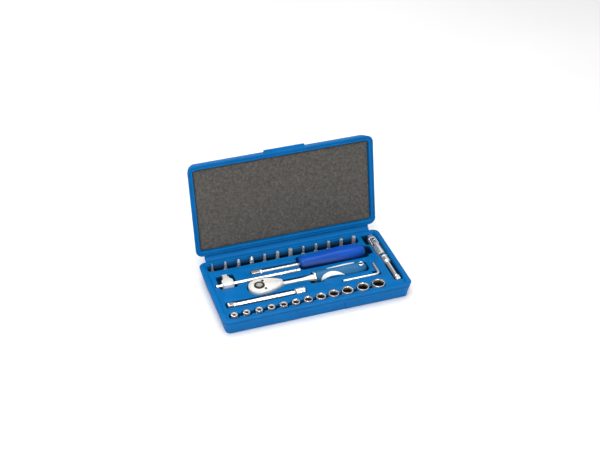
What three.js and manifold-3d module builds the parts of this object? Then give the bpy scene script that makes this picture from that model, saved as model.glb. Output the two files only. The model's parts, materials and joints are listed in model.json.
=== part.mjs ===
// Socket wrench set in a hinged plastic case, all sizes in millimetres.
// Frame: +X along the case, +Y towards the hinge, +Z up, origin under the middle of the base.
import * as THREE from 'three';
import { mergeVertices } from 'three/addons/utils/BufferGeometryUtils.js';
import Module from 'manifold-3d';

const wasm = await Module();
wasm.setup();

// ---- driving dimensions: case ----
const CASE_W = 250;
const CASE_D = 129;
const BASE_H = 22.3;
const LID_H = 20;
const LID_OPEN = 99;
const CORNER_R = 9;
const SIDE_DRAFT = 4.6;
const EDGE_R = 1.4;
const SHELL_WALL = 2.2;
const SHELL_FLOOR = 2.0;
const GAP = 0.3;

// ---- driving dimensions: tray insert ----
const RIM_BAND = 3.7;
const RIM_SIDE = 6.8;
const RIM_FRONT = 3.6;
const DECK_DROP = 2.5;
const CUP_WALL = 1.0;
const RIB_T = 2.2;
const PEG_PLAY = 1.05;
const PEG_H = 3.2;

// ---- driving dimensions: hinge, latch and foam ----
const HINGE_BACK = 4.6;
const HINGE_W = 228;
const STRIP_T = 0.8;
const RIM_GAP = 0.4;
const LATCH_X = 3.8;
const LATCH_W = 55;
const LATCH_OUT = 4.3;
const LATCH_T = 3.2;
const NOTCH_W = 61;
const NOTCH_H = 14;
const NOTCH_DEPTH = 1.1;
const LID_RIM = 6.6;
const LID_WALL = 2.2;
const FOAM_RECESS = 2.5;
const FOAM_GAP = 0.4;

// ---- driving dimensions: quarter-inch drive ----
const DRIVE_SQ = 6.35;
const DRIVE_PLAY = 0.3;
const DRIVE_LEN = 7.5;
const POCKET_GAP = 0.9;

// ---- derived drive sizes ----
const DRIVE_HOLE = DRIVE_SQ + DRIVE_PLAY;
const HOLE_CORNER_R = DRIVE_HOLE / Math.SQRT2;
const DRIVE_CORNER_R = DRIVE_SQ / Math.SQRT2;
const PEG_SIDE = DRIVE_HOLE - PEG_PLAY;

// ---- derived heights ----
const DECK_Z = BASE_H - DECK_DROP;
const BAND_Z = BASE_H - RIM_BAND;
const CUP_FLOOR = SHELL_FLOOR + GAP + CUP_WALL;
const REST_Z = CUP_FLOOR + GAP;
const HINGE_Y = CASE_D / 2 + HINGE_BACK;
const HINGE_Z = BASE_H + RIM_GAP / 2;

// ---- colours ----
const CASE_BLUE = 0x0a66b4;
const HANDLE_BLUE = 0x14329a;
const GRIP_BLUE = 0x2f6fa5;
const CHROME = 0xd8d8d2;
const STEEL = 0x9a9a96;
const DARK = 0x2a2b2c;
const FOAM = 0x555049;

const model = new THREE.Group();

// ================= geometry helpers =================

function weld(geometry) {
  const g = geometry.index ? geometry : mergeVertices(geometry);
  g.deleteAttribute('normal');
  if (g.attributes.uv) g.deleteAttribute('uv');
  const merged = mergeVertices(g, 1e-4);
  const p = merged.attributes.position;
  const kept = [];
  let volume = 0;
  for (let i = 0; i < merged.index.count; i += 3) {
    const [a, b, c] = [0, 1, 2].map((k) => merged.index.getX(i + k));
    if (a === b || b === c || c === a) continue;
    kept.push(a, b, c);
    const [va, vb, vc] = [a, b, c].map((k) => new THREE.Vector3().fromBufferAttribute(p, k));
    volume += va.dot(vb.cross(vc));
  }
  if (volume < 0) kept.reverse();
  const out = new THREE.BufferGeometry();
  out.setAttribute('position', p);
  out.setIndex(kept);
  return out;
}

function solid(geometry) {
  const g = weld(geometry);
  return new wasm.Manifold(new wasm.Mesh({
    numProp: 3,
    vertProperties: new Float32Array(g.attributes.position.array),
    triVerts: new Uint32Array(g.index.array),
  }));
}

function geometryOf(manifold) {
  const mesh = manifold.getMesh();
  const g = new THREE.BufferGeometry();
  g.setAttribute('position', new THREE.BufferAttribute(new Float32Array(mesh.vertProperties), 3));
  g.setIndex(new THREE.BufferAttribute(new Uint32Array(mesh.triVerts), 1));
  return g;
}

const join = (...geometries) => geometries.map(solid).reduce((a, b) => a.add(b));
const cut = (body, ...tools) => tools.map(solid).reduce((a, b) => a.subtract(b), body);

function box(x0, x1, y0, y1, z0, z1) {
  const g = new THREE.BoxGeometry(x1 - x0, y1 - y0, z1 - z0);
  return g.translate((x0 + x1) / 2, (y0 + y1) / 2, (z0 + z1) / 2);
}

function ringPoints(w, d, r, perCorner) {
  const points = [];
  const corners = [[1, 1], [-1, 1], [-1, -1], [1, -1]];
  corners.forEach(([sx, sy], q) => {
    for (let i = 0; i <= perCorner; i += 1) {
      const a = (q + i / perCorner) * Math.PI / 2;
      points.push([sx * (w / 2 - r) + r * Math.cos(a), sy * (d / 2 - r) + r * Math.sin(a)]);
    }
  });
  return points;
}

// closed skin through rings of equally many [x, y, z] points
function loft(rings) {
  const n = rings[0].length;
  const position = rings.flat(2);
  const index = [];
  for (let k = 0; k + 1 < rings.length; k += 1) {
    for (let i = 0; i < n; i += 1) {
      const a = k * n + i;
      const b = k * n + (i + 1) % n;
      index.push(a, b, b + n, a, b + n, a + n);
    }
  }
  const last = (rings.length - 1) * n;
  for (let i = 1; i + 1 < n; i += 1) {
    index.push(0, i + 1, i);
    index.push(last, last + i, last + i + 1);
  }
  const g = new THREE.BufferGeometry();
  g.setAttribute('position', new THREE.Float32BufferAttribute(position, 3));
  g.setIndex(index);
  return weld(g);
}

// stack of rounded rectangles: levels are [z, width, depth, corner radius]
function stack(levels, perCorner = 4) {
  return loft(levels.map(([z, w, d, r]) => ringPoints(w, d, r, perCorner).map(([x, y]) => [x, y, z])));
}

function turned(profile, segments) {
  const points = profile.map(([r, z]) => new THREE.Vector2(r, z));
  return weld(new THREE.LatheGeometry(points, segments).rotateX(Math.PI / 2));
}

const alongX = (g) => g.rotateY(Math.PI / 2);
const alongY = (g) => g.rotateX(-Math.PI / 2);

function disc(r, z0, z1, segments = 20) {
  return turned([[0, z0], [r, z0], [r, z1], [0, z1]], segments);
}

function polygonPrism(points, z0, z1) {
  const shape = new THREE.Shape(points.map(([x, y]) => new THREE.Vector2(x, y)));
  const g = new THREE.ExtrudeGeometry(shape, { depth: z1 - z0, bevelEnabled: false });
  return g.translate(0, 0, z0);
}

function regular(sides, acrossFlats, z0, z1, turn = 0) {
  const r = acrossFlats / 2 / Math.cos(Math.PI / sides);
  const points = [];
  for (let i = 0; i < sides; i += 1) {
    const a = turn + (2 * i + 1) * Math.PI / sides;
    points.push([r * Math.cos(a), r * Math.sin(a)]);
  }
  return polygonPrism(points, z0, z1);
}

const square = (side, z0, z1) => regular(4, side, z0, z1);

// chamfered male square drive pointing up
function maleSquare(z0, z1) {
  const tip = DRIVE_SQ - 1.6;
  return stack([[z0, DRIVE_SQ, DRIVE_SQ, 0.4], [z1 - 1, DRIVE_SQ, DRIVE_SQ, 0.4], [z1, tip, tip, 0.4]], 1);
}

function capsule(x0, x1, y, r, z0, z1) {
  const g = stack([[z0, x1 - x0, 2 * r, r], [z1, x1 - x0, 2 * r, r]], 3);
  return g.translate((x0 + x1) / 2, y, 0);
}

function well(x0, x1, y0, y1, r, z0, z1) {
  const g = stack([[z0, x1 - x0, y1 - y0, r], [z1, x1 - x0, y1 - y0, r]], 2);
  return g.translate((x0 + x1) / 2, (y0 + y1) / 2, 0);
}

function add(parent, name, geometry, color, roughness, metalness) {
  const g = geometry.isBufferGeometry ? geometry : geometryOf(geometry);
  const mesh = new THREE.Mesh(g, new THREE.MeshStandardMaterial({ color, roughness, metalness }));
  mesh.name = name;
  parent.add(mesh);
  return mesh;
}

const plastic = (parent, name, g, color) => add(parent, name, g, color, 0.5, 0);
const metal = (parent, name, g, color = CHROME) => add(parent, name, g, color, 0.25, 1);

// ================= tool sizes and places =================

const SOCKET_TOP = BASE_H - 0.5;
const SOCKET_DRIVE_R = HOLE_CORNER_R + 1.3;
const ROW_FRONT_MARGIN = 7.6;
const SOCKET_FRONT = CASE_D / 2 - ROW_FRONT_MARGIN;
const SLOT_HALF = 2.9;
const SLOT_DEPTH = 7.5;
const SOCKETS = [
  { size: 4, od: 8.9, x: -107.2 },
  { size: 4.5, od: 8.9, x: -91.4 },
  { size: 5, od: 9.2, x: -75.2 },
  { size: 5.5, od: 9.6, x: -59.4 },
  { size: 6, od: 9.9, x: -43.5 },
  { size: 7, od: 10.4, x: -27.5 },
  { size: 8, od: 11.4, x: -11.2 },
  { size: 9, od: 12.6, x: 5.7 },
  { size: 10, od: 13.6, x: 22.9 },
  { size: 11, od: 15.0, x: 41.4 },
  { size: 12, od: 15.7, x: 62.4 },
  { size: 13, od: 16.6, x: 83.6 },
];
const socketBodyR = (s) => Math.max(SOCKET_DRIVE_R, s.od / 2);
const socketPocketR = (s) => socketBodyR(s) + POCKET_GAP;
const socketY = (s) => -SOCKET_FRONT + socketPocketR(s);
const SLOT_Y = -SOCKET_FRONT + SOCKET_DRIVE_R + POCKET_GAP;

const BIT_R = HOLE_CORNER_R + 0.5;
const BIT_SIDE_MARGIN = 10.8;
const BIT_BACK_MARGIN = 8.3;
const BIT_FIRST_X = -CASE_W / 2 + BIT_SIDE_MARGIN + BIT_R;
const BIT_PITCH = 17.75;
const BIT_Y = CASE_D / 2 - BIT_BACK_MARGIN - BIT_R;
const BIT_BODY_TOP = REST_Z + 8.9;
const BIT_TOP = BASE_H + 4.5;
const BIT_SHANK_R = 2.6;
const BIT_HOLE_DEPTH = 3.2;
const TROUGH_FLARE = 3.2;
const BITS = [
  { kind: 'slotted', size: 4 },
  { kind: 'cross', size: 3.2 },
  { kind: 'cross', size: 4.2 },
  { kind: 'cross', size: 5.2 },
  { kind: 'hex', size: 3 },
  { kind: 'hex', size: 4 },
  { kind: 'hex', size: 5 },
  { kind: 'star', size: 2.8 },
  { kind: 'star', size: 3.4 },
  { kind: 'star', size: 3.9 },
  { kind: 'star', size: 4.5 },
  { kind: 'star', size: 5.6 },
];
const bitX = (i) => BIT_FIRST_X + i * BIT_PITCH;

const GEAR = { r: 7.6, teeth: 24, tooth: 0.7, room: 0.5 };
const PAWL = { x: GEAR.r + GEAR.tooth + 2.9, w: 5, d: 9 };
const SCREW = { r: 1.8, shankR: 1.1, radius: GEAR.r + GEAR.tooth + 2.1, angle: 52 };
const DIAL_R = 6.9;
const RATCHET = {
  y: -6, z: DECK_Z - 2.3, headX: -62, headR: GEAR.r + GEAR.tooth + 5.7, headT: 10,
  neckX: -31, neckHalf: 4, taper: 2.2, collarX: 10.2, collarR: 7.8, rodR: 2.8, footR: 4.2,
};
const GRIP = { x0: 12.6, x1: 82.5, tang: 50, holeX: 75, holeR: 2.4, pocketHalf: 10.6 };
const TBAR = { x0: -113.8, x1: -1.3, y: RATCHET.y + RATCHET.headR + 4.6, z: DECK_Z - 0.3, r: 2.3 };
const THEAD = { x: -98.5, w: 14.6, t: 10, back: 7, nose: 7.6, end: 18.5, slide: 4 };
const SPIN = { x0: -63.4, joint: 1, x1: 92.6, y: TBAR.y + 13.9, z: DECK_Z - 2.4, shaftR: 2.6, bore: 40 };
const LONG_EXT = {
  x0: -109.8, x1: -9, y: -28.7, z: DECK_Z - 1.6, shaftR: 2.8, endR: HOLE_CORNER_R + 0.4, endLen: 12.5,
};
const SHORT_EXT_END_R = HOLE_CORNER_R + 0.5;
const SHORT_EXT = {
  x: CASE_W / 2 - 7.4 - SHORT_EXT_END_R, y0: -45.6, y1: 7.2, z: DECK_Z - 2.8, shaftR: 3,
  endR: SHORT_EXT_END_R, endLen: 13,
};
const KEY = { x0: 43.8, x1: 93, y0: -27, y1: -3.9, z: DECK_Z - 0.8, af: 3, bend: 5 };
const UJ_R = HOLE_CORNER_R + 1.3;
const UJ = {
  x: CASE_W / 2 - 7.8 - UJ_R, y0: 10.5, y1: 57, z: DECK_Z - 2.8, r: UJ_R, pivot: 38, reach: 8, armT: 2.2,
  armPast: 4, pinR: 1.3, yaw: 15,
};

// ================= case =================

const wallInset = (z) => SIDE_DRAFT * (1 - z / BASE_H);

function caseOuter(height, z0, z1, edge) {
  const inset = (z) => SIDE_DRAFT * (1 - z / height);
  const level = (z, extra) => {
    const s = 2 * (inset(z) + extra);
    return [z, CASE_W - s, CASE_D - s, CORNER_R - extra / 2];
  };
  return stack([level(z0, edge), level(z0 + edge, 0), level(z1, 0)], 5);
}

function baseShell() {
  const top = BAND_Z - GAP;
  const inner = (z) => {
    const s = 2 * (wallInset(z) + SHELL_WALL);
    return [z, CASE_W - s, CASE_D - s, CORNER_R - SHELL_WALL];
  };
  const hollow = stack([inner(SHELL_FLOOR), inner(top + 1)], 5);
  const face = (z) => -(CASE_D / 2 - wallInset(z)) + NOTCH_DEPTH;
  const profile = [[face(-1), -1], [face(NOTCH_H), NOTCH_H], [-CASE_D, NOTCH_H], [-CASE_D, -1]];
  const shape = new THREE.Shape(profile.map(([y, z]) => new THREE.Vector2(y, z)));
  const notch = new THREE.ExtrudeGeometry(shape, { depth: NOTCH_W, bevelEnabled: false });
  notch.rotateX(Math.PI / 2).rotateZ(Math.PI / 2).translate(LATCH_X - NOTCH_W / 2, 0, 0);
  return cut(solid(caseOuter(BASE_H, 0, top, EDGE_R)), hollow, notch);
}

// the bit sockets' trough, whose back wall leans out near the deck
function bitTrough(g, z0, z1) {
  const x0 = bitX(0) - BIT_R - 1 - g;
  const x1 = bitX(BITS.length - 1) + BIT_R + 1 + g;
  const front = BIT_Y - BIT_R - 0.7 - g;
  const back = BIT_Y + BIT_R + 0.4 + g;
  const ring = (z, y) => ringPoints(x1 - x0, y - front, 5, 2)
    .map(([px, py]) => [px + (x0 + x1) / 2, py + (front + y) / 2, z]);
  const out = back + TROUGH_FLARE;
  return loft([ring(z0, back), ring(DECK_Z - 5, back), ring(DECK_Z - 0.5, out), ring(z1, out)]);
}

// every pocket of the tray as [shape maker grown by g, floor height]
function trayPockets() {
  const top = BASE_H + 5;
  const head = RATCHET.headX;
  const ry = RATCHET.y;
  const headFloor = RATCHET.z - RATCHET.headT / 2 - POCKET_GAP;
  const slotHalf = RATCHET.neckHalf + 1.6;
  const gripR = GRIP.pocketHalf;
  const driveWell = DRIVE_CORNER_R + POCKET_GAP;
  const driveFloor = RATCHET.z - RATCHET.headT / 2 - DRIVE_LEN - POCKET_GAP;
  const barR = TBAR.r + 1.2;
  const barFloor = TBAR.z - TBAR.r - GAP;
  const tHalf = THEAD.w / 2 + THEAD.slide + GAP;
  const tFloor = TBAR.z - THEAD.t / 2 - POCKET_GAP;
  const spinHalf = DRIVE_CORNER_R + 0.6;
  const spinFloor = SPIN.z - spinHalf - GAP;
  const maxHandle = HANDLE_PROFILE.reduce((m, [, r]) => Math.max(m, r), 0);
  const keyHalf = KEY.af / 2 + POCKET_GAP;
  const keyFloor = KEY.z - KEY.af / 2 - 0.5;
  const ujHalf = UJ.r + 1;
  const ujFloor = UJ.z - Math.hypot(UJ.r, UJ.armPast) - POCKET_GAP;
  const ujHubEnd = UJ.y1 - DRIVE_LEN;
  const yawRoom = (UJ.y1 - UJ.pivot) * Math.sin(UJ.yaw * Math.PI / 180) + POCKET_GAP;
  const extHalf = LONG_EXT.endR + POCKET_GAP;
  const shortHalf = SHORT_EXT.endR + POCKET_GAP;
  const pockets = [
    [(g, z) => bitTrough(g, z, top), CUP_FLOOR],
    [(g, z) => capsule(TBAR.x0 - 1.5 - g, TBAR.x1 + 1.5 + g, TBAR.y, barR + g, z, top), barFloor],
    [(g, z) => well(THEAD.x - tHalf - g, THEAD.x + tHalf + g, TBAR.y - THEAD.back - 1 - g,
      TBAR.y + THEAD.end + 1.2 + g, 3, z, top), tFloor],
    [(g, z) => capsule(SPIN.x0 - 1.5 - g, SPIN.joint + 2, SPIN.y, spinHalf + g, z, top), spinFloor],
    [(g, z) => well(SPIN.joint - 1.5 - g, SPIN.x1 + 2 + g, SPIN.y - maxHandle - 1.8 - g,
      SPIN.y + maxHandle + 0.8 + g, 5, z, top), CUP_FLOOR],
    [(g, z) => well(SPIN.x1 - 6 - g, SPIN.x1 + 9 + g, SPIN.y - 10 - g, SPIN.y + 9 + g, 4, z, top),
      CUP_FLOOR + 5],
    [(g, z) => teardrop(-1.6 - g, z, top).translate(head, ry, 0), headFloor],
    [(g, z) => disc(driveWell + g, z, top, 16).translate(head, ry, 0), driveFloor],
    [(g, z) => well(RATCHET.neckX - 12, GRIP.x0, ry - slotHalf - g, ry + slotHalf + g, 2, z, top), headFloor],
    [(g, z) => well(RATCHET.collarX - 2 - g, GRIP.x1 + 2 + g, ry - gripR - g, ry + gripR + g, 6, z, top),
      RATCHET.z - gripR],
    [(g, z) => well(RATCHET.collarX - 8 - g, RATCHET.collarX + 13 + g, ry - 14 - g, ry, 5, z, top),
      RATCHET.z - gripR],
    [(g, z) => well(LONG_EXT.x0 - 2.5 - g, LONG_EXT.x1 + 1.5 + g, LONG_EXT.y - extHalf - g,
      LONG_EXT.y + extHalf + g, 2.5, z, top), LONG_EXT.z - extHalf],
    [(g, z) => well(KEY.x0 - 2 - g, KEY.x1 + keyHalf + g, KEY.y0 - keyHalf - g,
      KEY.y0 + keyHalf + g, 1, z, top), keyFloor],
    [(g, z) => well(KEY.x1 - keyHalf - KEY.bend - g, KEY.x1 + keyHalf + g, KEY.y0 - keyHalf - g,
      KEY.y0 + KEY.bend + keyHalf + g, 1, z, top), keyFloor],
    [(g, z) => well(KEY.x1 - keyHalf - g, KEY.x1 + keyHalf + g, KEY.y0 - g,
      KEY.y1 + 1.5 + g, 1, z, top), keyFloor],
    [(g, z) => well(UJ.x - ujHalf - g, UJ.x + ujHalf + g, UJ.y0 - POCKET_GAP - g,
      ujHubEnd + 1 + g, 2, z, top), ujFloor],
    [(g, z) => well(UJ.x - driveWell - g, UJ.x + driveWell + g, UJ.pivot, UJ.y1 + 1 + g, 4, z, top), ujFloor],
    [(g, z) => well(UJ.x - ujHalf - yawRoom - g, UJ.x, UJ.pivot - 2 - g, UJ.y1 + 1 + g, 2, z, top), ujFloor],
    [(g, z) => well(SHORT_EXT.x - shortHalf - g, SHORT_EXT.x + shortHalf + g, SHORT_EXT.y0 - 1.2 - g,
      SHORT_EXT.y1 + 0.6 + g, 3, z, top), SHORT_EXT.z - shortHalf],
  ];
  const slotX = [SOCKETS[0].x, SOCKETS[SOCKETS.length - 1].x];
  pockets.push([(g, z) => well(slotX[0], slotX[1], SLOT_Y - SLOT_HALF - g, SLOT_Y + SLOT_HALF + g, 1, z, top),
    DECK_Z - SLOT_DEPTH]);
  SOCKETS.forEach((s) => {
    pockets.push([(g, z) => disc(socketPocketR(s) + g, z, top, 16).translate(s.x, socketY(s), 0), CUP_FLOOR]);
  });
  return pockets;
}

function toolTray() {
  const side = (z) => 2 * wallInset(z);
  const level = (z, extra) => [z, CASE_W - side(z) - extra, CASE_D - side(z) - extra, CORNER_R - extra / 2];
  const band = stack([level(BAND_Z, 0), level(BASE_H - 0.8, 0), level(BASE_H, 1.6)], 5);
  const openW = CASE_W - 2 * RIM_SIDE;
  const openD = CASE_D - 2 * RIM_FRONT;
  const opening = stack([[DECK_Z, openW - 2, openD - 2, 4.5], [BASE_H + 1, openW + 1, openD + 1, 6]], 4);
  const pockets = trayPockets();
  const below = solid(box(-CASE_W, CASE_W, -CASE_D, CASE_D, 0, DECK_Z - 0.4));
  let tray = solid(band);
  pockets.forEach(([shape, floor]) => {
    tray = tray.add(solid(shape(CUP_WALL, floor - CUP_WALL)).intersect(below));
  });
  const ribTop = DECK_Z - SLOT_DEPTH - CUP_WALL / 2;
  const rib = box(
    SOCKETS[0].x, SOCKETS[SOCKETS.length - 1].x, SLOT_Y - RIB_T / 2, SLOT_Y + RIB_T / 2,
    CUP_FLOOR - CUP_WALL, ribTop,
  );
  tray = tray.add(solid(rib));
  tray = tray.subtract(solid(opening));
  pockets.forEach(([shape, floor]) => {
    tray = tray.subtract(solid(shape(0, floor)));
  });
  const stands = BITS.map((bit, i) => [bitX(i), BIT_Y]).concat(SOCKETS.map((s) => [s.x, socketY(s)]));
  stands.forEach(([x, y]) => {
    tray = tray.add(solid(square(PEG_SIDE, CUP_FLOOR - 0.3, CUP_FLOOR + PEG_H).translate(x, y, 0)));
  });
  return tray;
}

// lid solids are drawn closed, measured from the hinge line, and turned open with their group
const lidGroup = new THREE.Group();
lidGroup.position.set(0, HINGE_Y, HINGE_Z);
lidGroup.rotation.x = -LID_OPEN * Math.PI / 180;
model.add(lidGroup);
const LID_MID_Y = -HINGE_BACK - CASE_D / 2;
const LID_FACE_Z = RIM_GAP / 2;

function lidShell() {
  const inset = (h) => 2 * SIDE_DRAFT * h / LID_H;
  const level = (h, extra, r) => [h, CASE_W - inset(h) - 2 * extra, CASE_D - inset(h) - 2 * extra, r];
  const outer = stack([
    level(0, 0.6, CORNER_R), level(0.8, 0, CORNER_R), level(LID_H - 4.5, 0, CORNER_R),
    level(LID_H - 1.4, 1.4, CORNER_R - 1), level(LID_H, 4.2, CORNER_R - 3),
  ], 5);
  const mouth = (h, s) => [h, CASE_W - 2 * LID_RIM - s, CASE_D - 2 * LID_RIM - s, 4.5];
  const hollow = stack([mouth(-1, 0), mouth(LID_H - LID_WALL, 2)], 4);
  const lipY = -CASE_D / 2;
  const lip = box(LATCH_X - LATCH_W / 2, LATCH_X + LATCH_W / 2, lipY - LATCH_OUT, lipY + 3, 0.3, LATCH_T);
  return join(outer, lip).subtract(solid(hollow)).translate([0, LID_MID_Y, LID_FACE_Z]);
}

function lidFoam() {
  const s = 2 * (LID_RIM + 1 + FOAM_GAP);
  const g = stack([
    [FOAM_RECESS, CASE_W - s, CASE_D - s, 4], [LID_H - LID_WALL - FOAM_GAP, CASE_W - s, CASE_D - s, 4],
  ], 3);
  return g.translate(0, LID_MID_Y, LID_FACE_Z);
}

// thin web from the back of the base rim to the hinge-side rim of the open lid
function hingeStrip() {
  const open = LID_OPEN * Math.PI / 180;
  const baseEnd = [CASE_D / 2 + 0.5, BASE_H - 1.6];
  const lidEnd = [
    HINGE_Y - (HINGE_BACK + 0.5) * Math.cos(open) + 1.6 * Math.sin(open),
    HINGE_Z + (HINGE_BACK - 0.6) * Math.sin(open),
  ];
  const bow = [HINGE_Y + 0.9, HINGE_Z - 1.3];
  const curve = new THREE.QuadraticBezierCurve(
    new THREE.Vector2(...baseEnd), new THREE.Vector2(...bow), new THREE.Vector2(...lidEnd),
  );
  const steps = 6;
  const outline = [];
  for (let i = 0; i <= steps; i += 1) outline.push(curve.getPoint(i / steps));
  for (let i = steps; i >= 0; i -= 1) {
    const t = curve.getTangent(i / steps);
    outline.push(curve.getPoint(i / steps).add(new THREE.Vector2(t.y, -t.x).multiplyScalar(STRIP_T)));
  }
  const g = new THREE.ExtrudeGeometry(new THREE.Shape(outline), { depth: HINGE_W, bevelEnabled: false });
  return weld(g.rotateX(Math.PI / 2).rotateZ(Math.PI / 2).translate(-HINGE_W / 2, 0, 0));
}

// ================= sockets and bits =================

function socket(s) {
  const r = s.od / 2;
  const body = socketBodyR(s);
  const neck = REST_Z + DRIVE_LEN + 1;
  const profile = [
    [0, REST_Z], [body - 0.4, REST_Z], [body, REST_Z + 0.4], [body, neck], [r, neck + (body - r)],
    [r, SOCKET_TOP - 0.6], [r - 0.6, SOCKET_TOP], [0, SOCKET_TOP],
  ].filter(([pr, pz], i, all) => i === 0 || pr !== all[i - 1][0] || pz !== all[i - 1][1]);
  const hexDepth = Math.max(5, s.size * 0.65);
  return cut(
    solid(turned(profile, 16)),
    square(DRIVE_HOLE, REST_Z - 1, REST_Z + DRIVE_LEN - 1),
    regular(6, s.size + 0.1, SOCKET_TOP - hexDepth, SOCKET_TOP + 1, Math.PI / 6),
  );
}

function bitBody() {
  const profile = [
    [0, REST_Z], [BIT_R - 0.4, REST_Z], [BIT_R, REST_Z + 0.4], [BIT_R, BIT_BODY_TOP - 1.2],
    [BIT_R - 1.2, BIT_BODY_TOP], [0, BIT_BODY_TOP],
  ];
  return cut(
    solid(turned(profile, 16)),
    square(DRIVE_HOLE, REST_Z - 1, REST_Z + PEG_H + 0.6),
    disc(BIT_SHANK_R + GAP, BIT_BODY_TOP - BIT_HOLE_DEPTH, BIT_BODY_TOP + 1, 12),
  );
}

function star(radius, z0, z1) {
  const points = [];
  const lobes = 6;
  for (let i = 0; i < lobes * 2; i += 1) {
    const r = i % 2 ? radius * 0.72 : radius;
    points.push([r * Math.cos(i * Math.PI / lobes), r * Math.sin(i * Math.PI / lobes)]);
  }
  return polygonPrism(points, z0, z1);
}

function bitTip(bit) {
  const foot = BIT_BODY_TOP - BIT_HOLE_DEPTH + GAP;
  const mid = BIT_BODY_TOP + 3.5;
  const shank = disc(BIT_SHANK_R, foot, mid, 12);
  const half = bit.size / 2;
  if (bit.kind === 'hex') return join(shank, regular(6, bit.size, mid - 1, BIT_TOP));
  if (bit.kind === 'star') return join(shank, star(half, mid - 1, BIT_TOP));
  if (bit.kind === 'slotted') {
    const blade = stack([
      [mid - 0.5, 4.4, 4.4, 1.2], [mid + 4, 1.2, bit.size, 0.3], [BIT_TOP, 0.8, bit.size, 0.3],
    ], 1);
    return join(shank, blade);
  }
  const cone = turned([
    [0, mid - 1], [half, mid - 1], [half, BIT_TOP - half - 1], [0.7, BIT_TOP], [0, BIT_TOP],
  ], 12);
  const wing = bit.size * 0.16;
  const flutes = [box(wing, 9, wing, 9, mid + 3, 40), box(-9, -wing, wing, 9, mid + 3, 40),
    box(-9, -wing, -9, -wing, mid + 3, 40), box(wing, 9, -9, -wing, mid + 3, 40)];
  return solid(shank).add(cut(solid(cone), ...flutes));
}

// ================= long tools =================

// shaft along +Z with a male square at the top and a female square at the foot
function extensionBar(length, shaftR, endR, endLen) {
  const shoulder = length - DRIVE_LEN;
  const profile = [
    [0, 0], [endR - 0.5, 0], [endR, 0.5], [endR, endLen - 1], [shaftR, endLen + 1],
    [shaftR, shoulder - 3], [DRIVE_SQ / 2, shoulder], [0, shoulder],
  ];
  const body = join(turned(profile, 18), maleSquare(shoulder - 1, length));
  return cut(body, square(DRIVE_HOLE, -1, endLen - 4));
}

function tBar() {
  const rod = turned([
    [0, TBAR.x0], [TBAR.r - 0.6, TBAR.x0], [TBAR.r, TBAR.x0 + 0.6],
    [TBAR.r, TBAR.x1 - 0.6], [TBAR.r - 0.6, TBAR.x1], [0, TBAR.x1],
  ], 14);
  return alongX(rod).translate(0, TBAR.y, TBAR.z);
}

function tHead() {
  const w = THEAD.w / 2;
  const n = DRIVE_SQ / 2 + 0.7;
  const outline = [
    [-w + 1.5, -THEAD.back], [w - 1.5, -THEAD.back], [w, -THEAD.back + 1.5], [w, 3.4],
    [n, THEAD.nose], [n, THEAD.nose + 3], [-n, THEAD.nose + 3], [-n, THEAD.nose],
    [-w, 3.4], [-w, -THEAD.back + 1.5],
  ];
  const block = polygonPrism(outline, -THEAD.t / 2, THEAD.t / 2);
  const drive = alongY(maleSquare(THEAD.nose + 2, THEAD.end));
  const bore = alongX(disc(TBAR.r + GAP, -20, 20, 16));
  return cut(join(block, drive), bore).translate([THEAD.x, TBAR.y, TBAR.z]);
}

const HANDLE_PROFILE = [
  [0, 7.6], [1.8, 9.4], [14, 10.6], [38, 12.6], [62, 13.4], [78, 12.8], [86, 11], [90, 8], [91.6, 4.5],
];

function spinnerHandle() {
  const facets = 18;
  const rings = HANDLE_PROFILE.map(([x, r]) => {
    const ring = [];
    for (let i = 0; i < facets; i += 1) {
      const a = i * 2 * Math.PI / facets;
      const flute = r * (1 - 0.035 * (1 - Math.cos(6 * a)));
      ring.push([SPIN.joint + x, flute * Math.cos(a), flute * Math.sin(a)]);
    }
    return ring;
  });
  const bore = alongX(disc(SPIN.shaftR + GAP, SPIN.joint - 1, SPIN.joint + SPIN.bore + GAP, 14));
  return cut(solid(loft(rings)), bore).translate([0, SPIN.y, SPIN.z]);
}

function spinnerShaft() {
  const rod = alongX(disc(SPIN.shaftR, SPIN.x0 + 10, SPIN.joint + SPIN.bore, 14));
  const drive = alongX(maleSquare(0, 12).rotateX(Math.PI)).translate(SPIN.x0 + 12, 0, 0);
  const collar = alongX(disc(SPIN.shaftR + 1.6, SPIN.x0 + 11.5, SPIN.x0 + 14, 16));
  return join(rod, drive, collar).translate([0, SPIN.y, SPIN.z]);
}

function hexKey() {
  const path = new THREE.CurvePath();
  const z = KEY.z;
  const corner = new THREE.Vector3(KEY.x1, KEY.y0, z);
  const a = new THREE.Vector3(KEY.x1 - KEY.bend, KEY.y0, z);
  const b = new THREE.Vector3(KEY.x1, KEY.y0 + KEY.bend, z);
  path.add(new THREE.LineCurve3(new THREE.Vector3(KEY.x0, KEY.y0, z), a));
  path.add(new THREE.QuadraticBezierCurve3(a, corner, b));
  path.add(new THREE.LineCurve3(b, new THREE.Vector3(KEY.x1, KEY.y1, z)));
  const r = KEY.af / 2 / Math.cos(Math.PI / 6);
  const points = [];
  for (let i = 0; i < 6; i += 1) {
    const turn = i * Math.PI / 3;
    points.push(new THREE.Vector2(r * Math.cos(turn), r * Math.sin(turn)));
  }
  return weld(new THREE.ExtrudeGeometry(new THREE.Shape(points), { steps: 20, extrudePath: path }));
}

// ================= ratchet =================

const HEAD_TOP = RATCHET.z + RATCHET.headT / 2;
const HEAD_FOOT = RATCHET.z - RATCHET.headT / 2;
const COVER_T = 1.4;
const COVER_IN = 2.2;
const CAVITY_R = GEAR.r + GEAR.tooth + GEAR.room;
const CAVITY_FLOOR = HEAD_FOOT + 1.6;
const CAVITY_TOP = HEAD_TOP - COVER_T - 0.1;

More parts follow.
